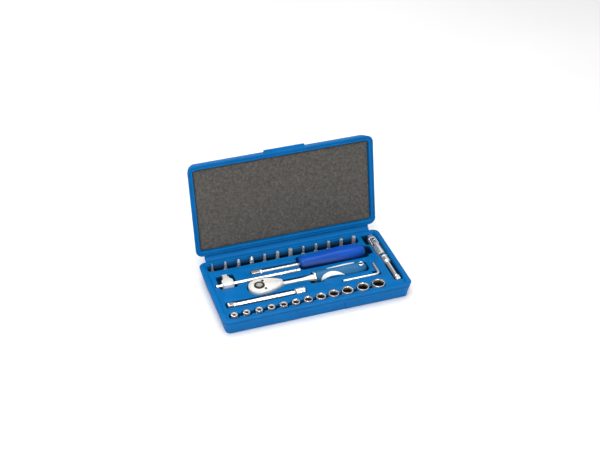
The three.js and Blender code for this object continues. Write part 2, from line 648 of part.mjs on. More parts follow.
// teardrop round the gear centre, bulging until it closes onto the neck; inset moves the outline inwards
function teardrop(inset, z0, z1) {
  const r = RATCHET.headR - inset;
  const neck = RATCHET.neckX - RATCHET.headX - inset;
  const half = RATCHET.neckHalf - inset / 2;
  const steps = 7;
  const arc = 14;
  const side = (t) => half + (r - half) * (1 - t ** RATCHET.taper);
  const points = [];
  for (let i = steps; i > 0; i -= 1) points.push([neck * i / steps, side(i / steps)]);
  for (let i = 0; i <= arc; i += 1) {
    const a = Math.PI * (0.5 + i / arc);
    points.push([r * Math.cos(a), r * Math.sin(a)]);
  }
  for (let i = 1; i <= steps; i += 1) points.push([neck * i / steps, -side(i / steps)]);
  return polygonPrism(points, z0, z1);
}

const screwPlace = (side) => {
  const a = side * SCREW.angle * Math.PI / 180;
  return [SCREW.radius * Math.cos(a), SCREW.radius * Math.sin(a)];
};

function ratchetBody() {
  const length = GRIP.tang - RATCHET.headX;
  const neck = RATCHET.neckX - RATCHET.headX;
  const rod = alongX(turned([
    [0, neck - 4], [3.2, neck - 4], [2.6, neck + 8], [2.6, neck + 26], [RATCHET.footR, neck + 39],
    [RATCHET.footR, GRIP.x0 - RATCHET.headX], [RATCHET.rodR, GRIP.x0 - RATCHET.headX + 1],
    [RATCHET.rodR, length], [0, length],
  ], 14));
  const body = join(teardrop(0, -RATCHET.headT / 2, RATCHET.headT / 2), rod);
  const cavity = disc(CAVITY_R, CAVITY_FLOOR - RATCHET.z, 9, 28);
  const pawlSide = PAWL.d / 2 + 1.2;
  const pawlRoom = box(0, PAWL.x + PAWL.w / 2 + 1.4, -pawlSide, pawlSide, CAVITY_FLOOR - RATCHET.z, 9);
  const seat = teardrop(COVER_IN, RATCHET.headT / 2 - COVER_T, 9);
  const hole = disc(DRIVE_CORNER_R + 1, -9, 9, 20);
  const screws = [-1, 1].map((side) => {
    const [x, y] = screwPlace(side);
    return disc(SCREW.shankR + GAP, CAVITY_FLOOR - RATCHET.z, 9, 10).translate(x, y, 0);
  });
  return cut(body, cavity, pawlRoom, seat, hole, ...screws).translate([RATCHET.headX, RATCHET.y, RATCHET.z]);
}

function headCover() {
  const plate = teardrop(COVER_IN + GAP, HEAD_TOP - COVER_T + GAP, HEAD_TOP);
  const holes = [-1, 1].map((side) => {
    const [x, y] = screwPlace(side);
    return disc(SCREW.shankR + GAP, 0, 40, 10).translate(x, y, 0);
  });
  return cut(solid(plate), disc(3 + GAP, 0, 40, 16), ...holes).translate([RATCHET.headX, RATCHET.y, 0]);
}

function selectorDial() {
  const g = turned([
    [0, CAVITY_TOP - 0.2], [3, CAVITY_TOP - 0.2], [3, HEAD_TOP + GAP], [DIAL_R, HEAD_TOP + GAP],
    [DIAL_R, HEAD_TOP + 1.3], [DIAL_R - 0.6, HEAD_TOP + 1.8], [0, HEAD_TOP + 1.8],
  ], 20);
  return g.translate(RATCHET.headX, RATCHET.y, 0);
}

function coverScrew(side) {
  const [x, y] = screwPlace(side);
  const g = turned([
    [0, CAVITY_FLOOR + 1], [SCREW.shankR, CAVITY_FLOOR + 1],
    [SCREW.shankR, HEAD_TOP + GAP], [SCREW.r, HEAD_TOP + GAP],
    [SCREW.r, HEAD_TOP + 0.8], [0, HEAD_TOP + 1],
  ], 10);
  return g.translate(RATCHET.headX + x, RATCHET.y + y, 0);
}

function driveGear() {
  const points = [];
  for (let i = 0; i < GEAR.teeth * 2; i += 1) {
    const r = i % 2 ? GEAR.r : GEAR.r + GEAR.tooth;
    const a = i * Math.PI / GEAR.teeth;
    points.push([r * Math.cos(a), r * Math.sin(a)]);
  }
  const wheel = polygonPrism(points, CAVITY_FLOOR + GAP, CAVITY_TOP - 0.9);
  const shank = maleSquare(0, DRIVE_LEN + 3.5).rotateX(Math.PI).translate(0, 0, HEAD_FOOT + 3.5);
  return join(wheel, shank).translate([RATCHET.headX, RATCHET.y, 0]);
}

function pawl() {
  const x0 = PAWL.x - PAWL.w / 2;
  const block = box(x0, PAWL.x + PAWL.w / 2, -PAWL.d / 2, PAWL.d / 2, CAVITY_FLOOR + GAP, CAVITY_TOP - 0.9);
  const clear = disc(CAVITY_R + 0.4, 0, 40, 28);
  return cut(solid(block), clear).translate([RATCHET.headX, RATCHET.y, 0]);
}

const GRIP_PROFILE = [
  [0, 7.6, 7.6], [4, 8.6, 8.4], [14, 8.0, 8.0], [26, 8.8, 8.6], [44, 9.8, 9.2], [58, 9.6, 8.4], [66, 7.4, 6],
  [69.9, 3.6, 3.2],
];

function ratchetGrip() {
  const facets = 18;
  const rings = GRIP_PROFILE.map(([x, ry, rz]) => {
    const ring = [];
    for (let i = 0; i < facets; i += 1) {
      const a = i * 2 * Math.PI / facets;
      ring.push([GRIP.x0 + x, ry * Math.cos(a), rz * Math.sin(a)]);
    }
    return ring;
  });
  const bore = alongX(disc(RATCHET.rodR + GAP, GRIP.x0 + 1, GRIP.tang + 1, 14));
  const mouth = alongX(disc(RATCHET.footR + GAP, GRIP.x0 - 1, GRIP.x0 + 1.5, 14));
  const hang = disc(GRIP.holeR, -20, 20, 14).translate(GRIP.holeX, 0, 0);
  return cut(solid(loft(rings)), bore, mouth, hang).translate([0, RATCHET.y, RATCHET.z]);
}

function gripCollar() {
  const inner = RATCHET.footR + GAP;
  const outer = RATCHET.collarR;
  const g = turned([
    [inner, RATCHET.collarX], [outer - 0.5, RATCHET.collarX], [outer, RATCHET.collarX + 0.5],
    [outer, GRIP.x0 - GAP], [inner, GRIP.x0 - GAP], [inner, RATCHET.collarX],
  ], 20);
  return alongX(g).translate(0, RATCHET.y, RATCHET.z);
}

// ================= universal joint =================

// hub with two arms towards the pivot; arms stand at +-X of a part drawn along +Y from the pivot
function yoke(hubFar) {
  const hub = alongY(disc(UJ.r, UJ.reach, hubFar, 18));
  const pin = alongX(disc(UJ.pinR + GAP, -20, 20, 12));
  const ring = alongY(disc(UJ.r, -UJ.armPast, UJ.reach + 1, 18));
  const inner = box(-(UJ.r - UJ.armT), UJ.r - UJ.armT, -UJ.armPast - 1, UJ.reach, -9, 9);
  const sides = [[3.2, 9], [-9, -3.2]].map(([z0, z1]) => box(-9, 9, -UJ.armPast - 1, UJ.reach, z0, z1));
  const arms = cut(solid(ring), inner, pin, ...sides);
  return solid(hub).add(arms);
}

function ujMale() {
  const far = UJ.y1 - UJ.pivot;
  const drive = alongY(maleSquare(far - DRIVE_LEN - 1, far));
  return yoke(far - DRIVE_LEN).add(solid(drive)).translate([UJ.x, UJ.pivot, UJ.z]);
}

function ujFemale() {
  const far = UJ.pivot - UJ.y0;
  const hole = alongY(square(DRIVE_HOLE, far - DRIVE_LEN, far + 1));
  const body = cut(yoke(far), hole);
  return body.rotate([0, 90, 0]).rotate([0, 0, 180]).translate([UJ.x, UJ.pivot, UJ.z]);
}

function ujCross() {
  const reach = UJ.r - 0.4;
  const core = box(-3, 3, -2.4, 2.4, -3, 3);
  const across = alongX(disc(UJ.pinR, -reach, reach, 12));
  const upright = disc(UJ.pinR, -reach, reach, 12);
  return join(core, across, upright).translate([UJ.x, UJ.pivot, UJ.z]);
}

// ================= assembly =================

plastic(model, 'base_shell', baseShell(), CASE_BLUE);
plastic(model, 'tool_tray', toolTray(), CASE_BLUE);
plastic(model, 'hinge_strip', hingeStrip(), CASE_BLUE);
plastic(lidGroup, 'lid_shell', lidShell(), CASE_BLUE);
add(lidGroup, 'lid_foam', lidFoam(), FOAM, 1, 0);

SOCKETS.forEach((s) => {
  const label = String(s.size).replace('.', '_');
  metal(model, `socket_${label}mm`, socket(s)).position.set(s.x, socketY(s), 0);
});

BITS.forEach((bit, i) => {
  const label = String(i + 1).padStart(2, '0');
  metal(model, `bit_body_${label}`, bitBody()).position.set(bitX(i), BIT_Y, 0);
  metal(model, `bit_tip_${label}_${bit.kind}`, bitTip(bit), STEEL).position.set(bitX(i), BIT_Y, 0);
});

metal(model, 'tbar_rod', tBar());
metal(model, 'tbar_head', tHead());
metal(model, 'spinner_shaft', spinnerShaft());
plastic(model, 'spinner_handle', spinnerHandle(), HANDLE_BLUE);

metal(model, 'ratchet_body', ratchetBody());
metal(model, 'ratchet_cover', headCover());
metal(model, 'ratchet_dial', selectorDial(), DARK);
metal(model, 'ratchet_screw_front', coverScrew(-1), DARK);
metal(model, 'ratchet_screw_back', coverScrew(1), DARK);
metal(model, 'ratchet_drive_gear', driveGear(), STEEL);
metal(model, 'ratchet_pawl', pawl(), STEEL);
metal(model, 'ratchet_collar', gripCollar());
plastic(model, 'ratchet_grip', ratchetGrip(), GRIP_BLUE);

const longExtension = extensionBar(
  LONG_EXT.x1 - LONG_EXT.x0, LONG_EXT.shaftR, LONG_EXT.endR, LONG_EXT.endLen,
);
const longBar = metal(model, 'extension_long', longExtension);
longBar.rotation.y = -Math.PI / 2;
longBar.position.set(LONG_EXT.x1, LONG_EXT.y, LONG_EXT.z);

const shortExtension = extensionBar(
  SHORT_EXT.y1 - SHORT_EXT.y0, SHORT_EXT.shaftR, SHORT_EXT.endR, SHORT_EXT.endLen,
);
const shortBar = metal(model, 'extension_short', shortExtension);
shortBar.rotation.x = Math.PI / 2;
shortBar.position.set(SHORT_EXT.x, SHORT_EXT.y1, SHORT_EXT.z);

metal(model, 'hex_key', hexKey(), STEEL);
metal(model, 'ujoint_female', ujFemale());
metal(model, 'ujoint_cross', ujCross(), DARK);
metal(model, 'ujoint_male', ujMale());

export default model;
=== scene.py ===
"""Socket wrench set in an open hinged case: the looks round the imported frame.

Sizes are in millimetres until a mesh is written, which is in metres. Places come from the frame's node boxes.
"""
import json
import math

import bmesh
import bpy
from mathutils import Matrix, Vector


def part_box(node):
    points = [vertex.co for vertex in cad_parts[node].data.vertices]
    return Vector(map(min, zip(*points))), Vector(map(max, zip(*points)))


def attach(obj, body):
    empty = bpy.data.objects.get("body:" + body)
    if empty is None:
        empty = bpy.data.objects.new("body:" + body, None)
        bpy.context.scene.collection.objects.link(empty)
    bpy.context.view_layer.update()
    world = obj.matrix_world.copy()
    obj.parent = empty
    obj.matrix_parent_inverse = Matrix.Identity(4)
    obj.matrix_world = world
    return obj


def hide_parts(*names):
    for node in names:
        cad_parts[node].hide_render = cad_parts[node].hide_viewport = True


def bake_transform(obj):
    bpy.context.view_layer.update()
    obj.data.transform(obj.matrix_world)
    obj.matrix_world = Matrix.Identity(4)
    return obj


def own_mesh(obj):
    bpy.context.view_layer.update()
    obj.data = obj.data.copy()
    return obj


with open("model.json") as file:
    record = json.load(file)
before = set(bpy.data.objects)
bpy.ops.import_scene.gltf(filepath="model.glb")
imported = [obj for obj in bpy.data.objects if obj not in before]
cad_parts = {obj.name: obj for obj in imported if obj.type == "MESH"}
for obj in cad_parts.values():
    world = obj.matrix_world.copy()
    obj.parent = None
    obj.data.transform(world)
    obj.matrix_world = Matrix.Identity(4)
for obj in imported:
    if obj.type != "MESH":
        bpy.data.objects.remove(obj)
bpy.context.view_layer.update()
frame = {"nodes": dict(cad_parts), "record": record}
MM = 0.001
TAU = 2 * math.pi

# ---- sizes that the boxes don't give, in millimetres ----
CASE_CORNER_R = 9
SIDE_DRAFT = 4.6
BASE_H = 22.3
LID_H = 20
SHELL_WALL = 2.2
SHELL_FLOOR = 2.0
RIM_BAND = 3.7
RIM_SIDE = 6.8
RIM_FRONT = 3.6
DECK_Z = BASE_H - 2.5
CUP_FLOOR = 3.3
STAND_SIDE = 5.6
STAND_H = 3.2
LATCH_X = 3.8
LATCH_W = 55
LATCH_OUT = 4.3
NOTCH_W = 61
NOTCH_H = 14
NOTCH_DEPTH = 1.1
LID_RIM = 6.6
LID_OPEN = math.radians(99)
HINGE_BACK = 4.6
HINGE_Z = 22.5
FOAM_RECESS = 2.5
DRIVE_HOLE = 6.65
DRIVE_SQ = 6.35
DRIVE_LEN = 7.5
POCKET_GAP = 0.9
NECK_X = -31
NECK_HALF = 4
GRIP_POCKET_HALF = 10.6
GRIP_BORE_R = 3.15
SPINNER_BORE_R = 2.95
BORE_DEPTH = 38.0
EYELET_X = 75
EYELET_R = 2.4
SLOT_HALF = 2.9
SLOT_DEPTH = 7.5
TROUGH_FLARE = 3.2
CUTTER_TOP = BASE_H + 6
PANEL_MARGIN = 38
PANEL_DEPTH = 0.25
LID_EDGE_R = 5.0
LID_WALL = 2.2
FOAM_MARGIN = 1.1
FLOOR_DROP = 0.02
BIT_SHANK_R = 2.6
BIT_BORE_R = 2.9
SOCKET_NECK_R = {4: 4.45, 4.5: 4.45, 5: 4.6, 5.5: 4.8, 6: 4.95, 7: 5.2, 8: 5.7}
BIT_SIZE = {1: 4, 2: 3.2, 3: 4.2, 4: 5.2, 5: 3, 6: 4, 7: 5, 8: 2.8, 9: 3.4, 10: 3.9, 11: 4.5, 12: 5.6}


# ================= places =================

def mm_box(node):
    lo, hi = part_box(node)
    return Vector(lo) / MM, Vector(hi) / MM


def middle(node):
    lo, hi = mm_box(node)
    return (lo + hi) / 2


BODY_OF = {node: body for body, nodes in frame["record"]["behaviour"]["bodies"].items() for node in nodes}
UP = Matrix.Identity(4)
PLUS_X = Matrix(((0, 0, 1, 0), (1, 0, 0, 0), (0, 1, 0, 0), (0, 0, 0, 1)))
MINUS_X = Matrix(((0, 0, -1, 0), (-1, 0, 0, 0), (0, 1, 0, 0), (0, 0, 0, 1)))
MINUS_Y = Matrix(((0, -1, 0, 0), (0, 0, -1, 0), (1, 0, 0, 0), (0, 0, 0, 1)))


def at(x, y, z, turn=UP):
    return Matrix.Translation((x, y, z)) @ turn


# ================= mesh helpers =================

def finish_mesh(bm, name, materials, smooth_angle=34):
    """Writes a bmesh in millimetres as an object in metres, smooth except over sharp edges."""
    bmesh.ops.remove_doubles(bm, verts=bm.verts, dist=1e-4)
    bmesh.ops.recalc_face_normals(bm, faces=bm.faces)
    limit = math.radians(smooth_angle)
    for face in bm.faces:
        face.smooth = True
    for edge in bm.edges:
        edge.smooth = len(edge.link_faces) == 2 and edge.calc_face_angle(0) < limit
    bmesh.ops.scale(bm, vec=(MM, MM, MM), verts=bm.verts)
    mesh = bpy.data.meshes.new(name)
    bm.to_mesh(mesh)
    bm.free()
    for material in materials:
        mesh.materials.append(material)
    obj = bpy.data.objects.new(name, mesh)
    bpy.context.scene.collection.objects.link(obj)
    return obj


def place(obj, node, body=None):
    """A piece that stands for a CAD node and moves with its body."""
    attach(obj, body or BODY_OF[node])
    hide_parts(node)
    return obj


def skin(rings, caps=(True, True)):
    """A bmesh through rings of equally many points."""
    bm = bmesh.new()
    rows = [[bm.verts.new(p) for p in ring] for ring in rings]
    count = len(rows[0])
    for low, high in zip(rows, rows[1:]):
        for i in range(count):
            j = (i + 1) % count
            bm.faces.new((low[i], low[j], high[j], high[i]))
    if caps[0]:
        bm.faces.new(list(reversed(rows[0])))
    if caps[1]:
        bm.faces.new(rows[-1])
    return bm


def circle(r):
    return lambda a: r


def square(side, corner=1.0):
    reach = side / 2 * math.sqrt(2) - 0.4 * corner
    return lambda a: min(side / 2 / max(abs(math.cos(a)), abs(math.sin(a))), reach)


def hexagon(across):
    return lambda a: across / 2 / math.cos(a % (math.pi / 3) - math.pi / 6)


def lobed(r, depth=0.13):
    return lambda a: r * (1 - depth + depth * math.cos(6 * a))


def bar(half_x, half_y):
    return lambda a: min(half_x / max(abs(math.cos(a)), 1e-6), half_y / max(abs(math.sin(a)), 1e-6))


def crossed(r, w):
    return lambda a: min(r, max(bar(r, w)(a), bar(w, r)(a)))


def spun_rings(path, matrix, sides=48):
    """Rings of a path of (radius or radius of angle, height)."""
    rings = []
    for shape, z in path:
        radius = shape if callable(shape) else circle(shape)
        ring = []
        for i in range(sides):
            a = i * TAU / sides
            r = max(radius(a), 1e-3)
            ring.append(matrix @ Vector((r * math.cos(a), r * math.sin(a), z)))
        rings.append(ring)
    return rings


def spun(path, matrix=UP, sides=48):
    return skin(spun_rings(path, matrix, sides))


def soft(points, r=0.5, steps=3):
    """A turned profile with its inner corners rounded to radius r."""
    out = [points[0]]
    for before, here, after in zip(points, points[1:], points[2:]):
        p, q, s = Vector(before), Vector(here), Vector(after)
        reach = min(r, (p - q).length * 0.45, (s - q).length * 0.45)
        if reach < 0.02:
            out.append(here)
            continue
        a = q + (p - q).normalized() * reach
        b = q + (s - q).normalized() * reach
        for i in range(steps + 1):
            t = i / steps
            w = a * (1 - t) ** 2 + q * 2 * t * (1 - t) + b * t ** 2
            out.append((w.x, w.y))
    out.append(points[-1])
    return out


def rounded_rect(w, d, r, steps=8, x=0.0, y=0.0):
    points = []
    for quarter, (sx, sy) in enumerate(((1, 1), (-1, 1), (-1, -1), (1, -1))):
        for i in range(steps + 1):
            a = (quarter + i / steps) * TAU / 4
            points.append((x + sx * (w / 2 - r) + r * math.cos(a), y + sy * (d / 2 - r) + r * math.sin(a)))
    return points


def stack(levels, steps=8, x=0.0, y=0.0, matrix=UP):
    """Rounded rectangles [z, width, depth, corner radius] skinned from first to last."""
    rings = []
    for z, w, d, r in levels:
        rings.append([matrix @ Vector((px, py, z)) for px, py in rounded_rect(w, d, r, steps, x, y)])
    return skin(rings)


def as_object(bm, name):
    bmesh.ops.recalc_face_normals(bm, faces=bm.faces)
    mesh = bpy.data.meshes.new(name)
    bm.to_mesh(mesh)
    bm.free()
    obj = bpy.data.objects.new(name, mesh)
    bpy.context.scene.collection.objects.link(obj)
    return obj


def boolean(bm, steps):
    """Cuts and joins bmeshes one after the other: steps are ("DIFFERENCE" or "UNION", bmesh)."""
    base = as_object(bm, "boolean_base")
    helpers = []
    for i, (operation, tool) in enumerate(steps):
        helper = as_object(tool, "boolean_tool_%d" % i)
        modifier = base.modifiers.new("step", "BOOLEAN")
        modifier.operation = operation
        modifier.solver = "MANIFOLD"
        modifier.object = helper
        helpers.append(helper)
    graph = bpy.context.evaluated_depsgraph_get()
    mesh = bpy.data.meshes.new_from_object(base.evaluated_get(graph))
    out = bmesh.new()
    out.from_mesh(mesh)
    for obj in [base] + helpers:
        data = obj.data
        bpy.data.objects.remove(obj)
        bpy.data.meshes.remove(data)
    bpy.data.meshes.remove(mesh)
    return out


def bevelled(bm, width, segments=2, angle=35):
    """Rounds the sharp edges of a bmesh."""
    obj = as_object(bm, "bevel_base")
    modifier = obj.modifiers.new("bevel", "BEVEL")
    modifier.width = width
    modifier.segments = segments
    modifier.limit_method = "ANGLE"
    modifier.angle_limit = math.radians(angle)
    graph = bpy.context.evaluated_depsgraph_get()
    mesh = bpy.data.meshes.new_from_object(obj.evaluated_get(graph))
    out = bmesh.new()
    out.from_mesh(mesh)
    data = obj.data
    bpy.data.objects.remove(obj)
    bpy.data.meshes.remove(data)
    bpy.data.meshes.remove(mesh)
    return out


def refined(node, material, width=0.3, segments=2):
    """The CAD node's own shape with its facets merged and its edges rounded."""
    bm = bmesh.new()
    bm.from_mesh(frame["nodes"][node].data)
    bmesh.ops.scale(bm, vec=(1 / MM, 1 / MM, 1 / MM), verts=bm.verts)
    bmesh.ops.remove_doubles(bm, verts=bm.verts, dist=1e-3)
    bmesh.ops.dissolve_limit(bm, angle_limit=math.radians(1), verts=bm.verts, edges=bm.edges)
    bm = bevelled(bm, width, segments)
    return place(finish_mesh(bm, node + "_fine", [material], 40), node)


# ================= materials =================

def new_material(name):
    material = bpy.data.materials.new(name)
    material.use_nodes = True
    tree = material.node_tree
    return material, tree.nodes, tree.links, tree.nodes["Principled BSDF"]


def noise(nodes, links, scale, detail, roughness=0.5):
    coordinates = nodes.new("ShaderNodeTexCoord")
    texture = nodes.new("ShaderNodeTexNoise")
    texture.inputs["Scale"].default_value = scale
    texture.inputs["Detail"].default_value = detail
    texture.inputs["Roughness"].default_value = roughness
    links.new(coordinates.outputs["Object"], texture.inputs["Vector"])
    return texture


def ramp(nodes, links, source, stops):
    node = nodes.new("ShaderNodeValToRGB")
    elements = node.color_ramp.elements
    elements[0].position, elements[0].color = stops[0][0], stops[0][1]
    elements[1].position, elements[1].color = stops[-1][0], stops[-1][1]
    for position, color in stops[1:-1]:
        element = elements.new(position)
        element.color = color
    links.new(source, node.inputs["Fac"])
    return node


def bump(nodes, links, bsdf, height, distance, strength):
    node = nodes.new("ShaderNodeBump")
    node.inputs["Distance"].default_value = distance
    node.inputs["Strength"].default_value = strength
    links.new(height, node.inputs["Height"])
    links.new(node.outputs["Normal"], bsdf.inputs["Normal"])


def grey(v):
    return (v, v, v, 1)


def product(nodes, links, a, b):
    """The product of two colour nodes."""
    mix = nodes.new("ShaderNodeMix")
    mix.data_type = "RGBA"
    mix.blend_type = "MULTIPLY"
    mix.inputs["Factor"].default_value = 1.0
    links.new(a.outputs["Color"], mix.inputs["A"])
    links.new(b.outputs["Color"], mix.inputs["B"])
    return mix.outputs["Result"]


def shaded_by_height(nodes, links, colour, tone):
    """Painted shade and light: the colour multiplied by a ramp over the height in the part's own frame,
    darker lower down.
    """
    low, high, stops = tone
    coordinates = nodes.new("ShaderNodeTexCoord")
    split = nodes.new("ShaderNodeSeparateXYZ")
    links.new(coordinates.outputs["Object"], split.inputs["Vector"])
    height = nodes.new("ShaderNodeMapRange")
    height.inputs["From Min"].default_value = low * MM
    height.inputs["From Max"].default_value = high * MM
    links.new(split.outputs["Z"], height.inputs["Value"])
    shade = ramp(nodes, links, height.outputs["Result"], [(where, grey(v)) for where, v in stops])
    return product(nodes, links, colour, shade)


def surface(name, dark, light, rough, metallic, colour_scale, grain, depth, specular=0.5, tone=None):
    """A finish with drifting colour, uneven roughness and a fine grain.

    Rough is the roughness range, depth the grain's depth in metres, tone (low z, high z, ramp stops) paints
    shade and light by height, or is None.
    """
    material, nodes, links, bsdf = new_material(name)
    bsdf.inputs["Metallic"].default_value = metallic
    bsdf.inputs["Specular IOR Level"].default_value = specular
    drift = noise(nodes, links, colour_scale, 5)
    colour = ramp(nodes, links, drift.outputs["Fac"], [(0.3, dark + (1,)), (0.7, light + (1,))])
    base = shaded_by_height(nodes, links, colour, tone) if tone else colour.outputs["Color"]
    links.new(base, bsdf.inputs["Base Color"])
    fine = noise(nodes, links, grain, 3)
    worn = ramp(nodes, links, fine.outputs["Fac"], [(0.3, grey(rough[0])), (0.7, grey(rough[1]))])
    links.new(worn.outputs["Color"], bsdf.inputs["Roughness"])
    bump(nodes, links, bsdf, fine.outputs["Fac"], depth, 0.6)
    return material


def foam_material():
    material, nodes, links, bsdf = new_material("open_cell_foam")
    cells = nodes.new("ShaderNodeTexVoronoi")
    cells.inputs["Scale"].default_value = 900
    coordinates = nodes.new("ShaderNodeTexCoord")
    links.new(coordinates.outputs["Object"], cells.inputs["Vector"])
    patches = noise(nodes, links, 260, 6, roughness=0.7)
    pores = ramp(nodes, links, cells.outputs["Distance"],
                 [(0.05, (0.030, 0.028, 0.024, 1)), (0.6, (0.104, 0.097, 0.087, 1))])
    tone = ramp(nodes, links, patches.outputs["Fac"], [(0.35, grey(0.62)), (0.68, grey(1.25))])
    links.new(product(nodes, links, pores, tone), bsdf.inputs["Base Color"])
    bsdf.inputs["Roughness"].default_value = 0.97
    bsdf.inputs["Specular IOR Level"].default_value = 0.15
    bsdf.inputs["Sheen Weight"].default_value = 0.15
    bump(nodes, links, bsdf, cells.outputs["Distance"], 0.0006, 0.9)
    return material


BLUE_DARK = (0.0, 0.104, 0.315)
BLUE_LIGHT = (0.0, 0.122, 0.365)
CASE = surface("case_plastic_blue", BLUE_DARK, BLUE_LIGHT, (0.38, 0.5), 0.0, 60, 2600, 0.00004, specular=0.08)
# Painted shade: the tray's blue darkens down into the pockets, from full colour 0.3 mm below the deck to 0.12
# of it 6 mm below.
TRAY = surface("tray_plastic_blue_painted_shade", BLUE_DARK, BLUE_LIGHT, (0.38, 0.5), 0.0, 60, 2600, 0.00004, specular=0.08,
               tone=(DECK_Z - 6, DECK_Z - 0.3, [(0.0, 0.12), (0.5, 0.25), (0.85, 0.55), (1.0, 1.0)]))
FOAM = foam_material()
CHROME = surface("polished_chrome", (0.88, 0.88, 0.87), (0.95, 0.95, 0.94), (0.10, 0.20),
                 0.85, 90, 900, 0.000006)
SATIN = surface("satin_chrome", (0.84, 0.83, 0.80), (0.93, 0.92, 0.89), (0.30, 0.42), 0.5, 120, 2400, 0.00001)
FACE = surface("head_face", (0.82, 0.79, 0.72), (0.90, 0.88, 0.82), (0.34, 0.46), 0.25, 160, 2400, 0.00002)
DIAL = surface("dial_face", (0.36, 0.36, 0.32), (0.52, 0.52, 0.47), (0.34, 0.46), 0.4, 400, 2400, 0.00002)
STEEL = surface("tool_steel", (0.70, 0.70, 0.69), (0.84, 0.84, 0.82), (0.22, 0.36), 0.75, 150, 2000, 0.00001)
BLACK = surface("blackened_steel", (0.018, 0.018, 0.016), (0.05, 0.048, 0.043), (0.35, 0.5),
                0.5, 200, 2200, 0.00002)
# Painted shade: the socket recesses darken towards their bottom, from full colour 1.2 mm below the case top
# to 0.04 of it 6.5 mm below.
INNER = surface("recess_steel_painted_shade", (0.30, 0.24, 0.16), (0.66, 0.56, 0.42), (0.26, 0.40), 0.6, 500, 2000, 0.00001,
                tone=(BASE_H - 6.5, BASE_H - 1.2, [(0.0, 0.04), (0.4, 0.22), (0.75, 0.65), (1.0, 1.0)]))
# Painted light and shade: the handle's blue is lighter on top, a little above its own colour, and darker down
# its lower side, to 0.22 of it.
HANDLE = surface("handle_acetate_blue_painted_light", (0.002, 0.055, 0.33), (0.004, 0.070, 0.39), (0.24, 0.34),
                 0.0, 30, 1200, 0.000012, specular=0.15,
                 tone=(DECK_Z - 11.4, DECK_Z + 6.6, [(0.0, 0.22), (0.66, 0.26), (0.84, 0.75), (1.0, 1.05)]))
GRIP = surface("grip_soft_blue", (0.010, 0.100, 0.230), (0.018, 0.130, 0.290), (0.36, 0.5),
               0.0, 70, 2600, 0.00004, specular=0.25)
WHITE = surface("inlay_off_white", (0.74, 0.78, 0.76), (0.86, 0.88, 0.86), (0.3, 0.42),
                0.0, 90, 2400, 0.00002)


# ================= case =================

def case_inset(z):
    return SIDE_DRAFT * (1 - z / BASE_H)


CASE_LO, CASE_HI = mm_box("tool_tray")
CASE_W = CASE_HI.x - CASE_LO.x + 2 * case_inset(BASE_H - 0.8)
CASE_D = CASE_HI.y - CASE_LO.y + 2 * case_inset(BASE_H - 0.8)
HINGE_Y = CASE_D / 2 + HINGE_BACK


def base_shell():
    top = mm_box("base_shell")[1].z
    r = 2.2
    levels = []
    for i in range(6):
        a = i / 5 * TAU / 4
        z = r * (1 - math.cos(a))
        extra = 2 * (case_inset(z) + r * (1 - math.sin(a)))
        levels.append([z, CASE_W - extra, CASE_D - extra, CASE_CORNER_R - extra / 4])
    for z in (6, 12, top - 0.4):
        s = 2 * case_inset(z)
        levels.append([z, CASE_W - s, CASE_D - s, CASE_CORNER_R])
    s = 2 * case_inset(top)
    levels.append([top, CASE_W - s - 0.8, CASE_D - s - 0.8, CASE_CORNER_R])
    levels.append([top, CASE_W - s - 2 * SHELL_WALL, CASE_D - s - 2 * SHELL_WALL, CASE_CORNER_R - 2])
    s = 2 * (case_inset(SHELL_FLOOR) + SHELL_WALL)
    levels.append([SHELL_FLOOR, CASE_W - s, CASE_D - s, CASE_CORNER_R - 2])
    shell = stack(levels, 10)
    face = [-(CASE_D / 2 - case_inset(z)) + NOTCH_DEPTH for z in (-1, NOTCH_H)]
    notch = bmesh.new()
    rows = []
    profile = ((face[0], -1), (face[1], NOTCH_H - 1.2), (face[1] - 1.2, NOTCH_H),
               (-CASE_D, NOTCH_H), (-CASE_D, -1))
    for x in (LATCH_X - NOTCH_W / 2, LATCH_X + NOTCH_W / 2):
        rows.append([notch.verts.new((x, y, z)) for y, z in profile])
    for i in range(5):
        notch.faces.new((rows[0][i], rows[0][(i + 1) % 5], rows[1][(i + 1) % 5], rows[1][i]))
    notch.faces.new(rows[0])
    notch.faces.new(list(reversed(rows[1])))
    panel_w, panel_d = CASE_W - PANEL_MARGIN, CASE_D - PANEL_MARGIN
    panel = stack([[-1, panel_w, panel_d, 6], [PANEL_DEPTH, panel_w, panel_d, 6],
                   [0.6, panel_w - 1, panel_d - 1, 6]], 6)
    cut = boolean(shell, [("DIFFERENCE", notch), ("DIFFERENCE", panel)])
    return place(finish_mesh(cut, "base_shell_fine", [CASE], 30), "base_shell")


def well(x0, x1, y0, y1, r, floor, edge=0.5):
    """A pocket cutter with a rounded floor corner and a softened mouth at the deck."""
    w, d = x1 - x0, y1 - y0
    r = min(r, w / 2 - 0.01, d / 2 - 0.01)
    sink = min(0.8, r * 0.5)
    levels = [
        [floor, w - 2 * sink, d - 2 * sink, max(r - sink, 0.3)],
        [floor + 0.25 * sink, w - 0.8 * sink, d - 0.8 * sink, max(r - 0.4 * sink, 0.3)],
        [floor + sink, w, d, r],
        [DECK_Z - edge, w, d, r],
        [DECK_Z - 0.3 * edge, w + 0.6 * edge, d + 0.6 * edge, r + 0.3 * edge],
        [DECK_Z + 0.01, w + 2 * edge, d + 2 * edge, r + edge],
        [CUTTER_TOP, w + 2 * edge, d + 2 * edge, r + edge],
    ]
    return stack(levels, 6, (x0 + x1) / 2, (y0 + y1) / 2)


def round_well(x, y, r, floor):
    return well(x - r, x + r, y - r, y + r, r - 0.02, floor)


def around(node, gap, r, left=0.0, right=0.0, front=0.0):
    """A pocket round a node's box, with extra room on three sides."""
    lo, hi = mm_box(node)
    return well(lo.x - gap - left, hi.x + gap + right, lo.y - gap - front, hi.y + gap, r, lo.z - gap)


